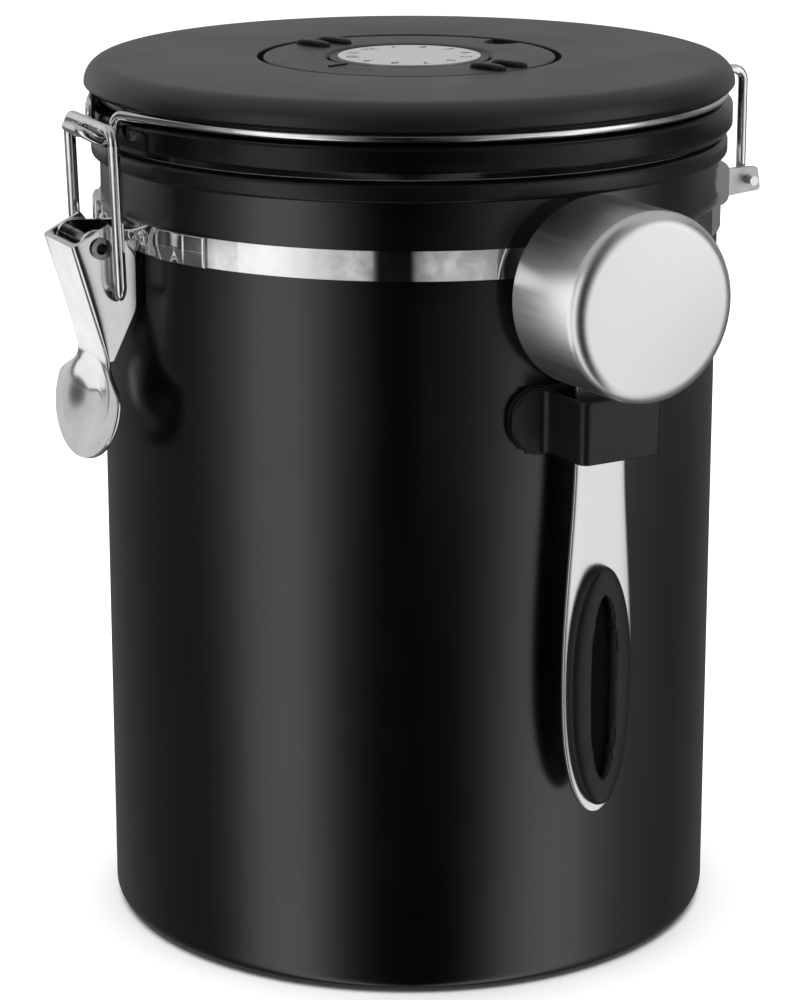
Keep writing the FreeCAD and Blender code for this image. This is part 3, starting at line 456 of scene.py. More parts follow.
def cover_finish(n, colours):
    """Spark-eroded matte plastic: even grey with a fine grain."""
    n.layered(shades(colours.cover, 0.9, 1.1), (1800, 2), (45, 3), 0.31, 0.37)
    n.relief(n.noise(3600, 3, 0.6), 0.00003, 0.3)


def gloss_finish(n, colours):
    """Polished black plastic with a slight flow."""
    n.layered(shades(colours.gloss, 0.7, 1.4), (50, 3), (120, 3), 0.12, 0.19, specular=0.3)
    n.relief(n.noise(220, 2), 0.00002, 0.12)


def polish_finish(n, colours):
    """Buffed steel: near mirror, with faint buffing lines and a few hazy spots."""
    n.layered(shades(colours.steel, 0.93, 1.03), (140, 4), (320, 5, 0.6), 0.04, 0.08, metallic=1.0)
    n.relief(n.noise(900, 3, 0.5, n.stretched((0.12, 0.12, 3.0))), 0.000002, 0.12)


def clasp_finish(n, colours):
    """Polished steel of the clasp's lever, a little softer than the bands."""
    n.layered(shades(colours.steel, 0.95, 1.05), (140, 4), (120, 3), 0.15, 0.19, metallic=1.0)
    n.relief(n.noise(260, 2), 0.000004, 0.08)


def satin_finish(n, colours):
    """Pressed steel left satin: soft cloudy grey with a fine rolled grain."""
    n.layered(shades(colours.steel, 0.74, 0.86), (200, 4), (500, 4), 0.42, 0.50, metallic=1.0)
    n.relief(n.noise(1400, 3, 0.5, n.stretched((1, 1, 0.2))), 0.000006, 0.15)


def eyelet_finish(n, colours):
    """Steel of the hollow pivot, painted dark as shade for its rolled, hollow inside."""
    n.layered(shades(colours.steel, 0.22, 0.34), (600, 3), (500, 3), 0.16, 0.24, metallic=1.0)
    n.relief(n.noise(1500, 2), 0.000004, 0.1)


def wire_finish(n, colours):
    """Drawn and plated wire: bright, with faint draw lines."""
    n.layered(shades(colours.steel, 0.95, 1.08), (260, 3), (700, 3), 0.05, 0.10, metallic=1.0)
    n.relief(n.noise(1500, 2, 0.5, n.stretched((1, 1, 0.1))), 0.000006, 0.1)


def brushed_finish(n, colours):
    """Brushed steel: long level scratches a tenth of a millimetre apart."""
    n.feed(n.shader, {"Metallic": 1.0})
    lines = n.noise(2600, 3, 0.6, n.stretched((0.02, 0.02, 3.0)))
    n.colour(n.tones(lines, *shades(colours.steel, 0.97, 1.06), 0.3, 0.7))
    n.roughness(n.between(lines, 0.28, 0.36))
    n.relief(lines, 0.000004, 0.15)


def silver_finish(n, colours):
    """Turned aluminium disc: fine rings about the dial's middle."""
    n.feed(n.shader, {"Metallic": 0.6})
    rings = n.stripes(900, "Z", kind="RINGS")
    n.colour(n.tones(rings, (0.48, 0.48, 0.49), (0.57, 0.57, 0.58), 0.2, 0.8))
    n.roughness(n.between(rings, 0.36, 0.46, 0.0, 1.0))
    n.relief(rings, 0.00001, 0.15)


def rib_finish(n, colours):
    """Smooth black grip bars."""
    n.layered(shades(colours.plastic, 0.6, 1.0), (300, 3), (500, 3), 0.22, 0.30, specular=0.15)
    n.relief(n.noise(1200, 2), 0.00001, 0.2)


def grip_finish(n, colours):
    """Soft-touch plastic with a fine grain; painted shade in the hollow, which is much darker there and has
    no specular sheen.
    """
    hollow = n.add("ShaderNodeAttribute", attribute_name="hollow").outputs["Fac"]
    outside = n.tones(n.noise(160, 4), *shades(colours.plastic, 0.8, 1.25))
    # painted shade: the hollow's colour is a much darker copy of the grip's, standing in for the shade in
    # the recess
    inside = n.tones(n.noise(300, 4), *shades(colours.plastic, 0.15, 0.3))
    mix = n.add("ShaderNodeMix", data_type="RGBA")
    n.feed(mix, {"Factor": hollow, "A": outside, "B": inside})
    n.colour(mix.outputs["Result"])
    # painted shade: the hollow also loses its specular reflection
    n.feed(n.shader, {"Specular IOR Level": n.between(hollow, 0.5, 0.06, 0.0, 1.0)})
    n.roughness(n.between(n.noise(200, 4), 0.40, 0.50))
    n.relief(n.noise(2600, 3), 0.00002, 0.35)


def holder_finish(n, colours):
    """Moulded clip: satin, with a flow line here and there."""
    n.layered(shades(colours.plastic, 0.85, 1.3), (120, 4), (180, 4), 0.32, 0.42)
    n.relief(n.noise(1700, 3), 0.000015, 0.3)


def foam_finish(n, colours):
    """Closed-cell foam tape."""
    n.colour(n.tones(n.cells(2600), *shades(colours.plastic, 0.6, 1.6), 0.1, 0.6))
    n.roughness(n.between(n.noise(900, 3), 0.75, 0.9))
    n.relief(n.cells(2600), 0.00008, 0.6)


def rubber_finish(n, colours):
    """Silicone seal: pale grey, a little uneven."""
    n.layered(((0.42, 0.42, 0.41), (0.52, 0.52, 0.51)), (150, 4), (300, 3), 0.45, 0.6)
    n.relief(n.noise(1500, 3), 0.00002, 0.3)


def valve_finish(n, colours):
    """White moulded plastic of the valve."""
    n.layered(((0.74, 0.74, 0.72), (0.82, 0.82, 0.80)), (130, 3), (260, 3), 0.3, 0.42)
    n.relief(n.noise(1800, 2), 0.00001, 0.25)


def cloth_finish(n, colours):
    """Filter cloth: two crossed sets of threads a millimetre apart."""
    threads = {0: n.stripes(320, "X"), 1: n.stripes(320, "Y")}
    weave = n.add("ShaderNodeMath", threads, operation="MULTIPLY").outputs[0]
    n.colour(n.tones(weave, (0.36, 0.34, 0.30), (0.70, 0.68, 0.62), 0.1, 0.8))
    n.roughness(n.between(weave, 0.95, 0.7, 0.0, 1.0))
    n.relief(weave, 0.0001, 0.7)


def ink_finish(n, colours):
    """Printed numbers."""
    n.layered(shades(colours.ink, 0.8, 1.4), (2200, 3), (900, 3), 0.45, 0.6)


RECIPES = {
    "can_black": coat_finish, "collar_black": collar_finish, "polished_steel": polish_finish,
    "bright_wire": wire_finish, "lid_matte": cover_finish, "lid_gloss": gloss_finish,
    "seal_rubber": rubber_finish, "dial_black": cover_finish, "dial_silver": silver_finish,
    "valve_white": valve_finish, "filter_cloth": cloth_finish, "scoop_steel": brushed_finish,
    "grip_black": grip_finish, "holder_black": holder_finish, "pad_foam": foam_finish,
    "dial_ribs": rib_finish, "dial_ink": ink_finish, "hinge_steel": satin_finish,
    "clasp_steel": clasp_finish, "eyelet_painted_shade": eyelet_finish,
}


def finish(name):
    """The named finish, made when it is first asked for."""
    made = bpy.data.materials.get(f"finish_{name}")
    if made:
        return made
    nodes = Nodes(name)
    RECIPES[name](nodes, bpy.context.scene.canister_colours)
    return nodes.material


# pieces

class CANISTER_OT_can(bpy.types.Operator):
    """Can and the rounded collar on its rim"""

    bl_idname = "canister.can"
    bl_label = "Can and collar"

    def execute(self, context):
        settle(turned_piece("can_shell", CAN, closed=False), "canister", "can_black", "canister_body")
        settle(turned_piece("collar_ring", COLLAR), "canister", "collar_black", "mouth_collar")
        return {"FINISHED"}


def rivet_dome(angle, face, radius=1.6, rise=0.9, power=0.7, rings=14, steps=40):
    """Flattened dome: (r sin b, h cos^p b) for b from rim to top, outwards from a face at an angle."""
    lean = np.linspace(np.pi / 2, 0, rings)
    profile = np.stack([radius * np.sin(lean), rise * np.cos(lean) ** power], 1)
    dome = turned(np.concatenate([[[0, 0]], profile]), steps)
    return about_z(np.stack([face + dome[..., 2], dome[..., 0], RIVET_HEIGHT + dome[..., 1]], -1), angle)


def fold_grid(side, steps=90):
    """Band's end folded back over itself beside the clasp.

    The outer line by angle is the fold's quarter round, a shallow hollow and a flat tail with a thin end.
    It is carried over the band's height with small edge rounds.
    """
    along = crowded(steps, power=1.3)
    angle = np.radians(180 + side * (FOLD_ANGLES[0] + (FOLD_ANGLES[1] - FOLD_ANGLES[0]) * along))
    rise = FOLD_RISE * np.sqrt(np.clip(1 - (1 - np.clip(along / FOLD_ROUND, 0, 1)) ** 2, FOLD_LEAST, 1))
    start, run, depth = FOLD_HOLLOW
    rise -= depth * np.sin(np.pi * np.clip((along - start) / run, 0, 1)) ** 2
    for start, drop in FOLD_DROPS:
        rise -= drop * ease((along - start) / FOLD_STEP)
    inside = np.full(steps, BAND_FACE + FOLD_GAP)
    edge, face = inside + FOLD_SHOULDER * rise, inside + rise
    low, high = BAND_HEIGHTS[0] - FOLD_LAP, BAND_HEIGHTS[1] + FOLD_LAP
    radius = np.stack([inside, edge, face, face, edge, inside], 1)
    height = np.array([low, low, low + FOLD_EDGE, high - FOLD_EDGE, high, high])
    return np.stack([radius * np.cos(angle)[:, None], radius * np.sin(angle)[:, None],
                     np.broadcast_to(height, radius.shape)], -1)


class CANISTER_OT_bands(bpy.types.Operator):
    """Bands, brackets and the rivets on them"""

    bl_idname = "canister.bands"
    bl_label = "Bands and brackets"

    def execute(self, context):
        domes = [(rivet_dome(*rivet), *POLES) for rivet in RIVETS]
        settle(surface("rivet_domes", domes, sharp=60), "canister", "polished_steel", "bracket_rivets")
        folds = [(fold_grid(side), *CAPPED) for side in (1, -1)]
        settle(surface("band_folds", folds, sharp=50), "canister", "polished_steel")
        dress("band_front", "band_rear", "clasp_bracket")
        dress("hinge_bracket", recipe="hinge_steel")
        return {"FINISHED"}


def channel_grid(sheet, stations=90, across=72, power=16.0, share=0.7):
    """Folded channel of the lever.

    Each section is a squared superellipse from one cheek's edge round the spine to the other and back
    inside by the sheet's thickness, or by a share of the channel's depth where that is less.
    """
    front = spaced(cornered(SPINE, closed=False), stations)
    edge = spaced(cornered(CHEEK_EDGE, closed=False), stations)
    depth = np.linalg.norm(edge - front, axis=1)[:, None]
    inside = front + (edge - front) / depth * np.minimum(sheet, share * depth)
    c, s = squircle(np.linspace(0, np.pi, across), power)

    def wall(middle, half):
        flat = middle[:, None, :] + (edge - middle)[:, None, :] * (1 - s)[None, :, None]
        return np.stack([-flat[..., 0], np.broadcast_to(half * c, flat.shape[:2]), flat[..., 1]], -1)

    return np.concatenate([wall(front, LEVER_HALF), wall(inside, LEVER_HALF - sheet)[:, ::-1]], axis=1)


def tab_line():
    """Side view of the tab's face: up to the waist and round a soft bend onto the spine."""
    lean = math.radians(TAB_LEAN)
    waist = np.array(TAB_WAIST)
    low = waist + (TAB_DROP + TAB_HALF[1]) * np.array([math.sin(lean), -math.cos(lean)])
    rise = np.array(SPINE[0][:2]) - waist
    high = waist + TAB_RISE * rise / np.linalg.norm(rise)
    return cornered([(*low, 0), (*waist, TAB_BEND), (*high, 0)], steps=30, closed=False)


def tab_grid(sheet, rows=130, across=90, nose=0.35):
    """Oval thumb tab with a pressed dish, narrowed to a neck that bends up onto the lever's spine.

    Half width: W (1 - (h / H)^2)^(1/2), eased into the neck. Dish: depth eased from its oval edge to a
    flat middle. The sheet's edge is a half ellipse, and the neck's end dips into the spine.
    """
    wide, tall = TAB_HALF
    line = tab_line()
    run = np.concatenate([[0], np.cumsum(np.linalg.norm(np.diff(line, axis=0), axis=1))])
    along = run[-1] * crowded(rows, power=1.7)
    spot = np.stack([np.interp(along, run, line[:, k]) for k in (0, 1)], 1)
    way = np.gradient(spot, along, axis=0)
    way /= np.linalg.norm(way, axis=1, keepdims=True)
    h = along - tall
    half = wide * np.sqrt(np.clip(1 - (h / tall) ** 2, 0, 1))
    neck = ease((h - TAB_CHANGE[0]) / TAB_CHANGE[1])
    half = half * (1 - neck) + TAB_NECK * neck
    flat = np.maximum(half - nose, 0)[:, None]
    spread = np.sin(np.linspace(-np.pi / 2, np.pi / 2, across))
    bend = np.linspace(np.pi / 2, -np.pi / 2, 9)[1:-1]

    def dish(y):
        q = np.hypot(y / DISH_HALF[0], h[:, None] / DISH_HALF[1])
        return -DISH_DEPTH * ease((1 - q) / DISH_SLOPE)

    rim = np.minimum(half, nose)[:, None]
    front, back = flat * spread, flat * spread[::-1]
    right, left = flat + rim * np.cos(bend), -flat - rim * np.cos(bend)
    middle = -sheet / 2
    levels = [dish(front), middle + sheet / 2 * np.sin(bend) + 0 * flat, dish(back) - sheet,
              middle - sheet / 2 * np.sin(bend) + 0 * flat]
    y = np.concatenate([front, right, back, left], 1)
    lift = TAB_LIFT[1] * ease((h - TAB_DROP) / TAB_LIFT[0] + 1)
    dip = TAB_DIP[1] * ease((along - run[-1]) / TAB_DIP[0] + 1)
    n = np.concatenate(levels, 1) + (lift - dip)[:, None]
    return np.stack([-spot[:, :1] - n * way[:, 1:], y, spot[:, 1:] - n * way[:, :1]], -1)


def bore(piece, holes, reach=30.0, steps=48):
    """Cuts round holes along Y through a piece."""
    angle = full_turn(steps)
    rims = []
    for outwards, height, radius in holes:
        ring = np.stack([-outwards + radius * np.cos(angle), np.zeros(steps),
                         height + radius * np.sin(angle)], -1)
        rims.append((np.stack([ring - [0, reach, 0], ring + [0, reach, 0]]), *CAPPED))
    cutter = surface("bore_cutter", rims)
    cut = piece.modifiers.new("bores", "BOOLEAN")
    cut.object, cut.operation, cut.solver = cutter, "DIFFERENCE", "EXACT"
    made = as_mesh(piece)
    piece.modifiers.clear()
    piece.data = made
    made.shade_smooth()
    made.set_sharp_from_angle(angle=math.radians(SHARP))
    bpy.data.objects.remove(cutter)


class CANISTER_OT_clasp(bpy.types.Operator):
    """Clasp lever with its dished thumb tab, hollow pivot and wire hasp"""

    bl_idname = "canister.clasp"
    bl_label = "Clasp"

    def execute(self, context):
        sheet = context.scene.canister_sizes.sheet / MM
        lever = surface("lever_sheet", [(channel_grid(sheet), *CAPPED)])
        bore(lever, LEVER_HOLES)
        tab = surface("lever_tab", [(tab_grid(sheet), *CAPPED)], sharp=50)
        settle(tab, "lever", "polished_steel", recipe="clasp_steel")
        settle(lever, "lever", "polished_steel", "latch_lever", recipe="clasp_steel")
        for piece in (lever, tab):
            bpy.data.collections["clasp_card"].objects.link(piece)
        # painted shade: the pivot is dressed in dark steel for the shade in its hollow
        dress("lever_eyelet", recipe="eyelet_painted_shade")
        dress("hasp_wire")
        return {"FINISHED"}


class CANISTER_OT_lid(bpy.types.Operator):
    """Lid top, glossy skirt, bail wire and seal"""

    bl_idname = "canister.lid"
    bl_label = "Lid"

    def execute(self, context):
        settle(turned_piece("lid_top", COVER), "lid", "lid_matte", "lid_cover")
        settle(turned_piece("lid_skirt", SKIRT), "lid", "lid_gloss", "lid_tray")
        dress("lid_bail", "lid_gasket", "valve_seat", "valve_filter", "valve_cap", "valve_disc")
        dress("dial_hub", recipe="dial_black")
        return {"FINISHED"}


def rounded_bar(half, centre, degrees, power, steps=48):
    """Superellipsoid bar: a direction over its power-mean length, times the three half sizes."""
    rise = np.linspace(-np.pi / 2, np.pi / 2, steps // 2)[:, None]
    turn = full_turn(steps)[None, :]
    way = np.stack([np.cos(rise) * np.cos(turn), np.cos(rise) * np.sin(turn),
                    np.sin(rise) * np.ones_like(turn)], -1)
    length = (np.abs(way) ** power).sum(-1, keepdims=True) ** (1 / power)
    return about_z(way / length * np.array(half) + np.array(centre), degrees)


def dial_grid(turns):
    """Turned dial ring with a leaf-shaped thumb notch sunk into its top, opposite the pointer."""
    grid = turned(cornered(DIAL), turns)
    local = about_z(grid, -DIAL_TURN)
    along, aside = -local[..., 1], local[..., 0]
    share = np.clip((DIAL_EDGE - along) / (DIAL_EDGE - NOTCH_INSIDE), 0, 1)
    edge = NOTCH_HALF * np.sqrt(1 - share ** 2)
    near_top = grid[..., 2] > DIAL_TOP - NOTCH_REACH
    grid[..., 2] -= NOTCH_DEPTH * ease((edge - np.abs(aside)) / NOTCH_SIDE) * near_top
    return grid


def number_patches(height):
    """The month numbers 1 to 12 as flat text, each at its place round the face."""
    points, faces, first = [], [], 0
    for month in range(1, 13):
        text = bpy.data.curves.new("month", "FONT")
        text.body = str(month)
        text.size = height * TYPE_SIZE
        text.align_x, text.align_y = "CENTER", "CENTER"
        text.resolution_u = 3
        holder = stand("month", text)
        flat = as_mesh(holder)
        spots = points_of(flat) + [0, NUMBER_RING * MM, (FACE_TOP + INK_LIFT) * MM]
        points.append(about_z(spots, DIAL_TURN - 90 - month * MONTH_STEP))
        faces += [[first + v for v in face.vertices] for face in flat.polygons]
        first += len(spots)
        bpy.data.objects.remove(holder)
        bpy.data.curves.remove(text)
        bpy.data.meshes.remove(flat)
    return np.concatenate(points), faces


class CANISTER_OT_dial(bpy.types.Operator):
    """Date dial with its grip bars and pointer, and the face with the months"""

    bl_idname = "canister.dial"
    bl_label = "Date dial"

    def execute(self, context):
        sizes = context.scene.canister_sizes
        ring = surface("dial_ring", [(dial_grid(sizes.turns * 2), *RING)], sharp=50)
        settle(ring, "dial", "dial_black", "date_dial")
        bars = [rounded_bar(BAR_HALF, (end * BAR_OUT, side * BAR_ASIDE, DIAL_TOP), DIAL_TURN, BAR_POWER)
                for end in (1, -1) for side in (1, -1)]
        pointer = rounded_bar(POINTER_HALF, (0, POINTER_OUT, DIAL_TOP), DIAL_TURN, POINTER_POWER)
        for name, grids in (("dial_bars", bars), ("dial_pointer", [pointer])):
            raised = surface(name, [(grid, *SLEEVE) for grid in grids], sharp=80)
            settle(raised, "dial", "dial_black", recipe="dial_ribs")
        settle(turned_piece("month_face", FACE, closed=False), "lid", "dial_silver", "dial_face")
        points, faces = number_patches(sizes.numeral_height)
        mesh = bpy.data.meshes.new("month_numbers")
        mesh.from_pydata(points, [], faces)
        settle(stand("month_numbers", mesh), "lid", "dial_silver", recipe="dial_ink")
        return {"FINISHED"}


def scoop_frame(outwards, aside, height):
    """Points given as outwards, aside and height at the scoop's side of the can."""
    return about_z(np.stack(np.broadcast_arrays(outwards, aside, height), -1), SCOOP_TURN)


def cup_grid(turns):
    """Turned cup whose axis points outwards: profile (r, depth) round that axis."""
    shape = turned(cornered(CUP), turns)
    return scoop_frame(CUP_CENTRE[0] + shape[..., 2], shape[..., 0], CUP_CENTRE[1] + shape[..., 1])


def leaf_half(height, low, wide, top, half, neck=0.0, power=2.6, reach=0.8):
    """Half width of a leaf: half (1 - s^p)^(1/2) towards each end, or eased to a straight neck above."""
    below = half * np.sqrt(1 - np.clip((wide - height) / (wide - low), 0, 1) ** power)
    if neck:
        above = neck + (half - neck) * (1 - ease((height - wide) / (reach * (top - wide))))
    else:
        above = half * np.sqrt(1 - np.clip((height - wide) / (top - wide), 0, 1) ** power)
    return np.where(height < wide, below, above)


def handle_grid(thickness, stations=150, around=48, power=7.0, thin=1.6, least=0.02):
    """Leaf-shaped strap: a squared superellipse carried up it, thin at its tip and cut by the cup."""
    height = HANDLE_LOW + (HANDLE_TOP - HANDLE_LOW) * crowded(stations, power=1.6)
    half = leaf_half(height, HANDLE_LOW, HANDLE_WIDE, HANDLE_TOP, HANDLE_HALF, HANDLE_NECK)
    c, s = squircle(full_turn(around), power)
    limit = np.minimum(thickness, thin * half + least)
    outwards = HANDLE_BACK + thickness / 2 + limit[:, None] / 2 * s
    top_cut = CUP_CENTRE[1] - np.sqrt(HANDLE_CUT ** 2 - (half[:, None] * c) ** 2)
    return scoop_frame(outwards, half[:, None] * c, np.minimum(height[:, None], top_cut))


def almond_share(aside, height, power=2.6):
    """How far into the grip's hollow a point is: 0 outside its almond outline, 1 from 1 mm inside."""
    middle, reach = (GRIP_LOW + GRIP_TOP) / 2, (GRIP_TOP - GRIP_LOW) / 2 - ALMOND_MARGIN
    share = np.clip(np.abs(height - middle) / reach, 0, 1)
    return ease(ALMOND_HALF * np.sqrt(1 - share ** power) - np.abs(aside))


def mark_hollow(piece):
    """Stores on the grip's points how far each is into the hollow, the mask of the grip's painted shade."""
    outwards, aside, height = about_z(points_of(piece.data) / MM, -SCOOP_TURN).T
    share = almond_share(aside, height) * (outwards > GRIP_FRONT)
    hollow = piece.data.attributes.new("hollow", "FLOAT", "POINT")
    hollow.data.foreach_set("value", share.astype(np.float32))
    return piece


def grip_grid(thickness, stations=190, around=120, power=3.4, front=0.5):
    """Crowned leaf with a flat back and an almond recess: depth eased in from the almond's edge."""
    t = np.linspace(0, np.pi, stations)
    height = GRIP_LOW + (GRIP_TOP - GRIP_LOW) * (1 - np.cos(t)) / 2
    half = leaf_half(height, GRIP_LOW, GRIP_WIDE, GRIP_TOP, GRIP_HALF, power=2.2)
    c, s = squircle(full_turn(around), power)
    aside = half[:, None] * c
    taper = np.clip(half / GRIP_THIN, 0, 1)[:, None] ** 0.5
    crown = thickness * np.clip(s, 0, None) * taper
    sunk = ALMOND_DEPTH * almond_share(aside, height[:, None]) * (s > front)
    outwards = GRIP_BACK + np.maximum(crown - sunk, 0)
    return scoop_frame(outwards, aside, height[:, None] + 0 * c)


def plate_grid(inside, thickness, half_angle=14.2, end=5.8, stations=90, around=48, power=8.0):
    """Curved plate with round ends: a squared section whose half height follows a stadium's outline."""
    low, high = PLATE_HEIGHTS
    tall = (high - low) / 2
    radius = inside + thickness / 2
    span = radius * math.radians(half_angle)
    along = span * np.sin(np.linspace(-np.pi / 2, np.pi / 2, stations))
    past = np.clip(np.abs(along) - (span - end), 0, end)
    half = tall - end + np.sqrt(end ** 2 - past ** 2)
    half = np.where(np.abs(along) >= span - 1e-9, 0.0, half)
    c, s = squircle(full_turn(around), power)
    out = radius + thickness / 2 * c
    turn = along / radius
    points = np.stack([np.cos(turn)[:, None] * out, np.sin(turn)[:, None] * out,
                       (low + high) / 2 + half[:, None] * s], -1)
    return about_z(points, SCOOP_TURN)


def loop_grid(wall=0.9, edge=0.35):
    """Squared wall section carried along the loop's path, offset along the path's own normal."""
    path = spaced(cornered(LOOP, steps=12, closed=False), count=120)
    way = np.gradient(path, axis=0)
    way /= np.linalg.norm(way, axis=1, keepdims=True)
    normal = np.stack([way[:, 1], -way[:, 0]], 1)
    low, high = LOOP_HEIGHTS
    section = cornered([(-wall / 2, low, edge), (wall / 2, low, edge), (wall / 2, high, edge),
                        (-wall / 2, high, edge)], steps=5)
    flat = path[:, None, :] + normal[:, None, :] * section[None, :, :1]
    return scoop_frame(flat[..., 0], flat[..., 1], section[None, :, 1])


class CANISTER_OT_scoop(bpy.types.Operator):
    """Scoop and the clip that holds it"""

    bl_idname = "canister.scoop"
    bl_label = "Scoop and holder"

    def execute(self, context):
        sizes = context.scene.canister_sizes
        bowl = surface("scoop_bowl", [(cup_grid(CUP_TURNS), *RING)])
        settle(bowl, "scoop", "scoop_steel", "scoop_cup")
        bpy.data.collections["cup_card"].objects.link(bowl)
        strap = surface("scoop_strap", [(handle_grid(sizes.handle_thickness / MM), *CAPPED)], sharp=50)
        settle(strap, "scoop", "scoop_steel", "scoop_handle")
        grip = surface("scoop_grip_leaf", [(grip_grid(sizes.grip_thickness / MM), *SLEEVE)], sharp=50)
        settle(mark_hollow(grip), "scoop", "grip_black", "scoop_grip")
        clip = [(plate_grid(*PLATE), *SLEEVE), (loop_grid(), *CAPPED)]
        settle(surface("holder_clip", clip, sharp=50), "canister", "holder_black", "scoop_holder")
        tape = [(plate_grid(*TAPE), *SLEEVE)]
        settle(surface("holder_tape", tape, sharp=50), "canister", "pad_foam", "holder_pad")
        return {"FINISHED"}


# stage

# levels by compass angle from the camera: the walls, the strip that the bands mirror, the lower walls and
# table that the can mirrors, the pale backdrop, and the ceiling
STUDIO_WALL = {
    -180: 0.10, -150: 0.13, -131: 0.12, -115: 0.05, -100: 0.035, -90: 0.04, -82: 0.09, -72: 0.30,
    -62: 0.70, -54: 1.0, -46: 1.03, -39: 0.88, -32: 0.55, -25: 0.25, -18: 0.09, -11: 0.01, 1: 0.003,
    8: 0.02, 15: 0.05, 22: 0.10, 30: 0.24, 40: 0.44, 48: 0.62, 57: 0.80, 68: 1.1, 80: 1.1, 95: 0.25,
    110: 0.10, 130: 0.05,
}
STUDIO_STRIP = {
    -180: 0.14, -150: 0.15, -131: 0.16, -115: 0.30, -100: 0.25, -90: 0.06, -82: 0.42, -72: 0.93,
    -62: 1.05, -54: 1.08, -46: 0.95, -39: 0.80, -32: 0.71, -25: 0.70, -18: 0.64, -13.5: 0.5,
    -11.5: 0.004, 1: 0.003, 3: 0.3, 8: 0.57, 14: 0.66, 20: 0.63, 25: 0.58, 31: 0.33, 40: 0.35, 48: 0.45,
    60: 0.75, 75: 0.9, 95: 0.5, 120: 0.5, 145: 0.3,
}
STUDIO_LOW = {
    -180: 0.12, -150: 0.14, -131: 0.13, -112: 0.10, -96: 0.085, -85: 0.09, -75: 0.18, -66: 0.42,
    -57: 0.80, -49: 1.03, -41: 0.97, -33: 0.55, -25.6: 0.20, -18: 0.06, -10.6: 0.02, 1: 0.01, 8: 0.01,
    15: 0.02, 22: 0.06, 30: 0.22, 38: 0.55, 46: 0.82, 56: 1.0, 66: 0.92, 78: 0.5, 92: 0.25, 120: 0.11,
}
STUDIO_BACK = {-180: 0.25, -160: 0.28, -146: 0.46, -108: 0.46, -95: 0, 110: 0, 135: 0.25}
STUDIO_CEILING = {-180: 0.42, -75: 0.42, -45: 0.32, -15: 0.08, 15: 0.08, 45: 0.28, 75: 0.42}
# layers over the walls: heights of the direction between which each comes in, its blend and its levels
STUDIO_LAYERS = [(-0.17, -0.12, "ADD", STUDIO_BACK), (-0.193, -0.195, "MIX", STUDIO_STRIP),
                 (-0.207, -0.210, "MIX", STUDIO_LOW), (0.35, 0.60, "MIX", STUDIO_CEILING)]
CAMERA_SIDE = -116.0
SENSOR_WIDTH = 36.0
CLIP_START = 0.05
# floor, lamp and cards in metres; a card has its width and height, its middle and the point that it faces
FLOOR_REACH, FLOOR_DROP = 6.0, 0.0002
OVERHEAD_SIZE, OVERHEAD_PLACE = (2.6, 2.6), (0, 0, 1.9)
CLASP_CARD = ((0.26, 0.056), Vector((-0.15, 0.23, 0.034)), Vector((-0.071, 0, 0.122)))
CUP_CARD = ((0.50, 0.45), Vector((-0.298, 0.172, 0.083)), Vector((-0.005, -0.077, 0.14)))


def by_angle(room, compass, stops):
    """Level by compass angle from the camera's side, eased between the stops."""
    ramp = room.add("ShaderNodeValToRGB", {"Fac": compass})
    ramp.color_ramp.interpolation = "EASE"
    placed = sorted((((angle + CAMERA_SIDE) / 360 + 0.5) % 1.0, level) for angle, level in stops.items())
    elements = ramp.color_ramp.elements
    while len(elements) < len(placed):
        elements.new(0.5)
    for element, (position, level) in zip(elements, placed):
        element.position = position
        element.color = (level, level, level, 1)
    return ramp.outputs["Color"]


def studio_world(strength):
    """Walls round the studio by direction: bright panels left and right of the camera, dark between."""
    world = bpy.data.worlds.new("studio")
    world.use_nodes = True
    world.node_tree.nodes.clear()
    room = Tree(world.node_tree)
    way = room.add("ShaderNodeTexCoord").outputs["Generated"]
    compass = room.add("ShaderNodeTexGradient", {"Vector": way}, gradient_type="RADIAL").outputs["Fac"]
    height = room.add("ShaderNodeSeparateXYZ", {"Vector": way}).outputs["Z"]
    colour = by_angle(room, compass, STUDIO_WALL)
    for start, end, blend, stops in STUDIO_LAYERS:
        share = room.add("ShaderNodeMapRange", {"Value": height, "From Min": start, "From Max": end},
                         interpolation_type="SMOOTHSTEP")
        mix = room.add("ShaderNodeMix", {"Factor": share.outputs["Result"], "A": colour,
                                         "B": by_angle(room, compass, stops)},
                       data_type="RGBA", blend_type=blend)
        colour = mix.outputs["Result"]
    walls = room.add("ShaderNodeBackground", {"Color": colour, "Strength": strength}).outputs[0]
    seen = room.add("ShaderNodeBackground", {"Color": (1, 1, 1, 1)}).outputs[0]
    by_camera = room.add("ShaderNodeLightPath").outputs["Is Camera Ray"]
    choose = room.add("ShaderNodeMixShader", {"Fac": by_camera, 1: walls, 2: seen})
    room.add("ShaderNodeOutputWorld", {"Surface": choose.outputs["Shader"]})
    return world


def lay_floor():
    """Pale paper floor, a hair under the can."""
    corners = [(x * FLOOR_REACH, y * FLOOR_REACH, -FLOOR_DROP)
               for x, y in ((-1, -1), (1, -1), (1, 1), (-1, 1))]
    mesh = bpy.data.meshes.new("studio_floor")
    mesh.from_pydata(corners, [], [(0, 1, 2, 3)])
    floor = stand("studio_floor", mesh)
    paper = Nodes("floor_paper")
    paper.colour(paper.tones(paper.noise(3, 3), (0.90, 0.90, 0.90), (0.92, 0.92, 0.92)))
    paper.feed(paper.shader, {"Roughness": 0.9, "Specular IOR Level": 0.0})
    mesh.materials.append(paper.material)
    floor.visible_glossy = False
    floor.visible_diffuse = False


def area_lamp(name, size, place, energy):
    """Rectangular lamp that shines straight down."""
    light = bpy.data.lights.new(name, "AREA")
    light.shape = "RECTANGLE"
    light.size, light.size_y = size
    light.energy = energy
    lamp = stand(name, light)
    lamp.location = place
    return lamp


def light_card(name, size, place, aim, energy):
    """Hidden lamp that reaches, and is shaded by, only the pieces in the collection of its name."""
    card = area_lamp(name, size, place, energy)
    card.rotation_euler = (aim - place).to_track_quat("-Z", "Y").to_euler()
    card.visible_camera = False
    pieces = bpy.data.collections.new(name)
    card.light_linking.receiver_collection = pieces
    card.light_linking.blocker_collection = pieces


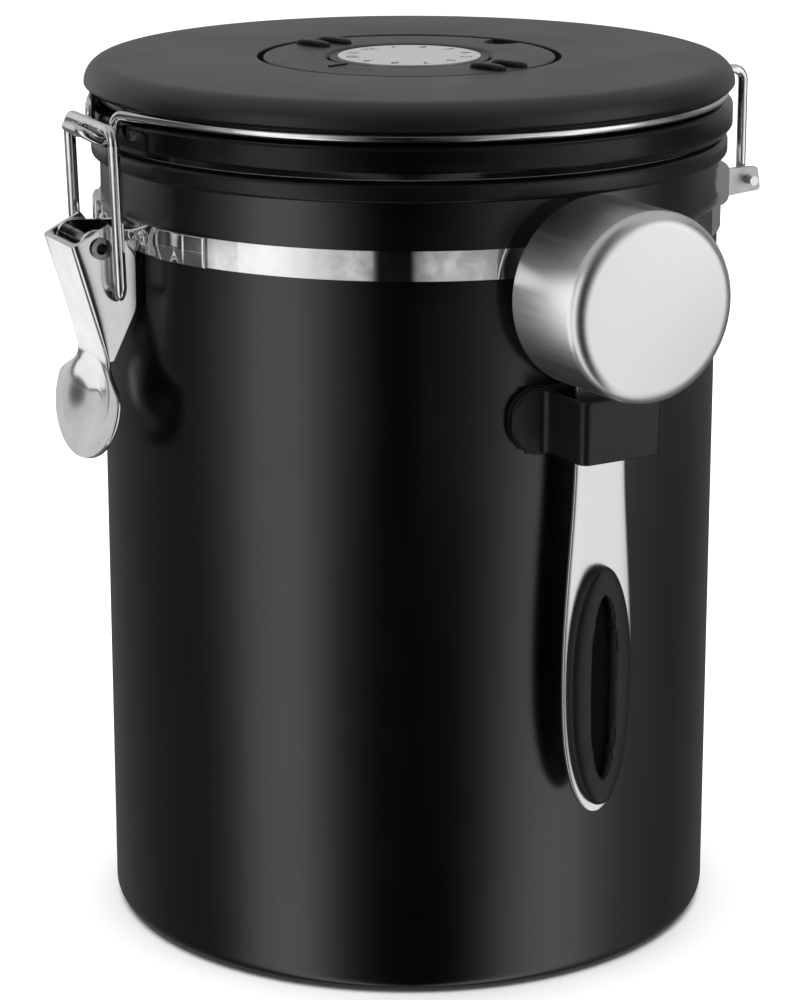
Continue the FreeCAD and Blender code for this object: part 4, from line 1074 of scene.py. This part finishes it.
def place_camera(scene, studio):
    """Camera at the angle of the photograph."""
    view = bpy.data.cameras.new("camera")
    view.lens, view.sensor_width, view.sensor_fit = studio.lens, SENSOR_WIDTH, "AUTO"
    view.clip_start = CLIP_START
    scene.camera = stand("camera", view)
    scene.camera.location = Vector(studio.place)
    scene.camera.rotation_euler = Euler((math.pi / 2 - studio.pitch, 0, studio.azimuth))


class CANISTER_OT_stage(bpy.types.Operator):
    """Pale floor, soft studio light and the camera"""

    bl_idname = "canister.stage"
    bl_label = "Stage"

    def execute(self, context):
        scene = context.scene
        studio = scene.canister_studio
        scene.world = studio_world(studio.surround)
        scene.view_settings.view_transform = "Standard"
        lay_floor()
        overhead = area_lamp("overhead", OVERHEAD_SIZE, OVERHEAD_PLACE, studio.overhead)
        overhead.visible_glossy = False
        light_card("clasp_card", *CLASP_CARD, studio.clasp_card)
        light_card("cup_card", *CUP_CARD, studio.cup_card)
        place_camera(scene, studio)
        return {"FINISHED"}


class CANISTER_PT_panel(bpy.types.Panel):
    """Buttons and settings in the 3D view's sidebar"""

    bl_idname = "CANISTER_PT_panel"
    bl_label = "Coffee canister"
    bl_space_type = "VIEW_3D"
    bl_region_type = "UI"
    bl_category = "Canister"

    def draw(self, context):
        for name in GROUPS:
            group = getattr(context.scene, name)
            box = self.layout.box()
            for key in group.__annotations__:
                box.prop(group, key)
        for step in STEPS:
            self.layout.operator(step.bl_idname)


GROUPS = {"canister_sizes": CanisterSizes, "canister_colours": CanisterColours,
          "canister_studio": CanisterStudio}
STEPS = (CANISTER_OT_stage, CANISTER_OT_can, CANISTER_OT_bands, CANISTER_OT_clasp, CANISTER_OT_lid,
         CANISTER_OT_dial, CANISTER_OT_scoop)


def register():
    """Makes the settings, operators and panel known."""
    for kind in (*GROUPS.values(), *STEPS, CANISTER_PT_panel):
        bpy.utils.register_class(kind)
    for name, group in GROUPS.items():
        setattr(bpy.types.Scene, name, PointerProperty(type=group))


def unregister():
    """Takes them away again."""
    for name in GROUPS:
        delattr(bpy.types.Scene, name)
    for kind in (CANISTER_PT_panel, *reversed(STEPS), *GROUPS.values()):
        bpy.utils.unregister_class(kind)


def main():
    """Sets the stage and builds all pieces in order."""
    register()
    for name in ("Cube", "Light", "Camera"):
        spare = bpy.data.objects.get(name)
        if spare:
            bpy.data.objects.remove(spare)
    bpy.ops.canister.stage()
    bpy.ops.canister.can()
    bpy.ops.canister.bands()
    bpy.ops.canister.clasp()
    bpy.ops.canister.lid()
    bpy.ops.canister.dial()
    bpy.ops.canister.scoop()


if __name__ == "__main__":
    main()
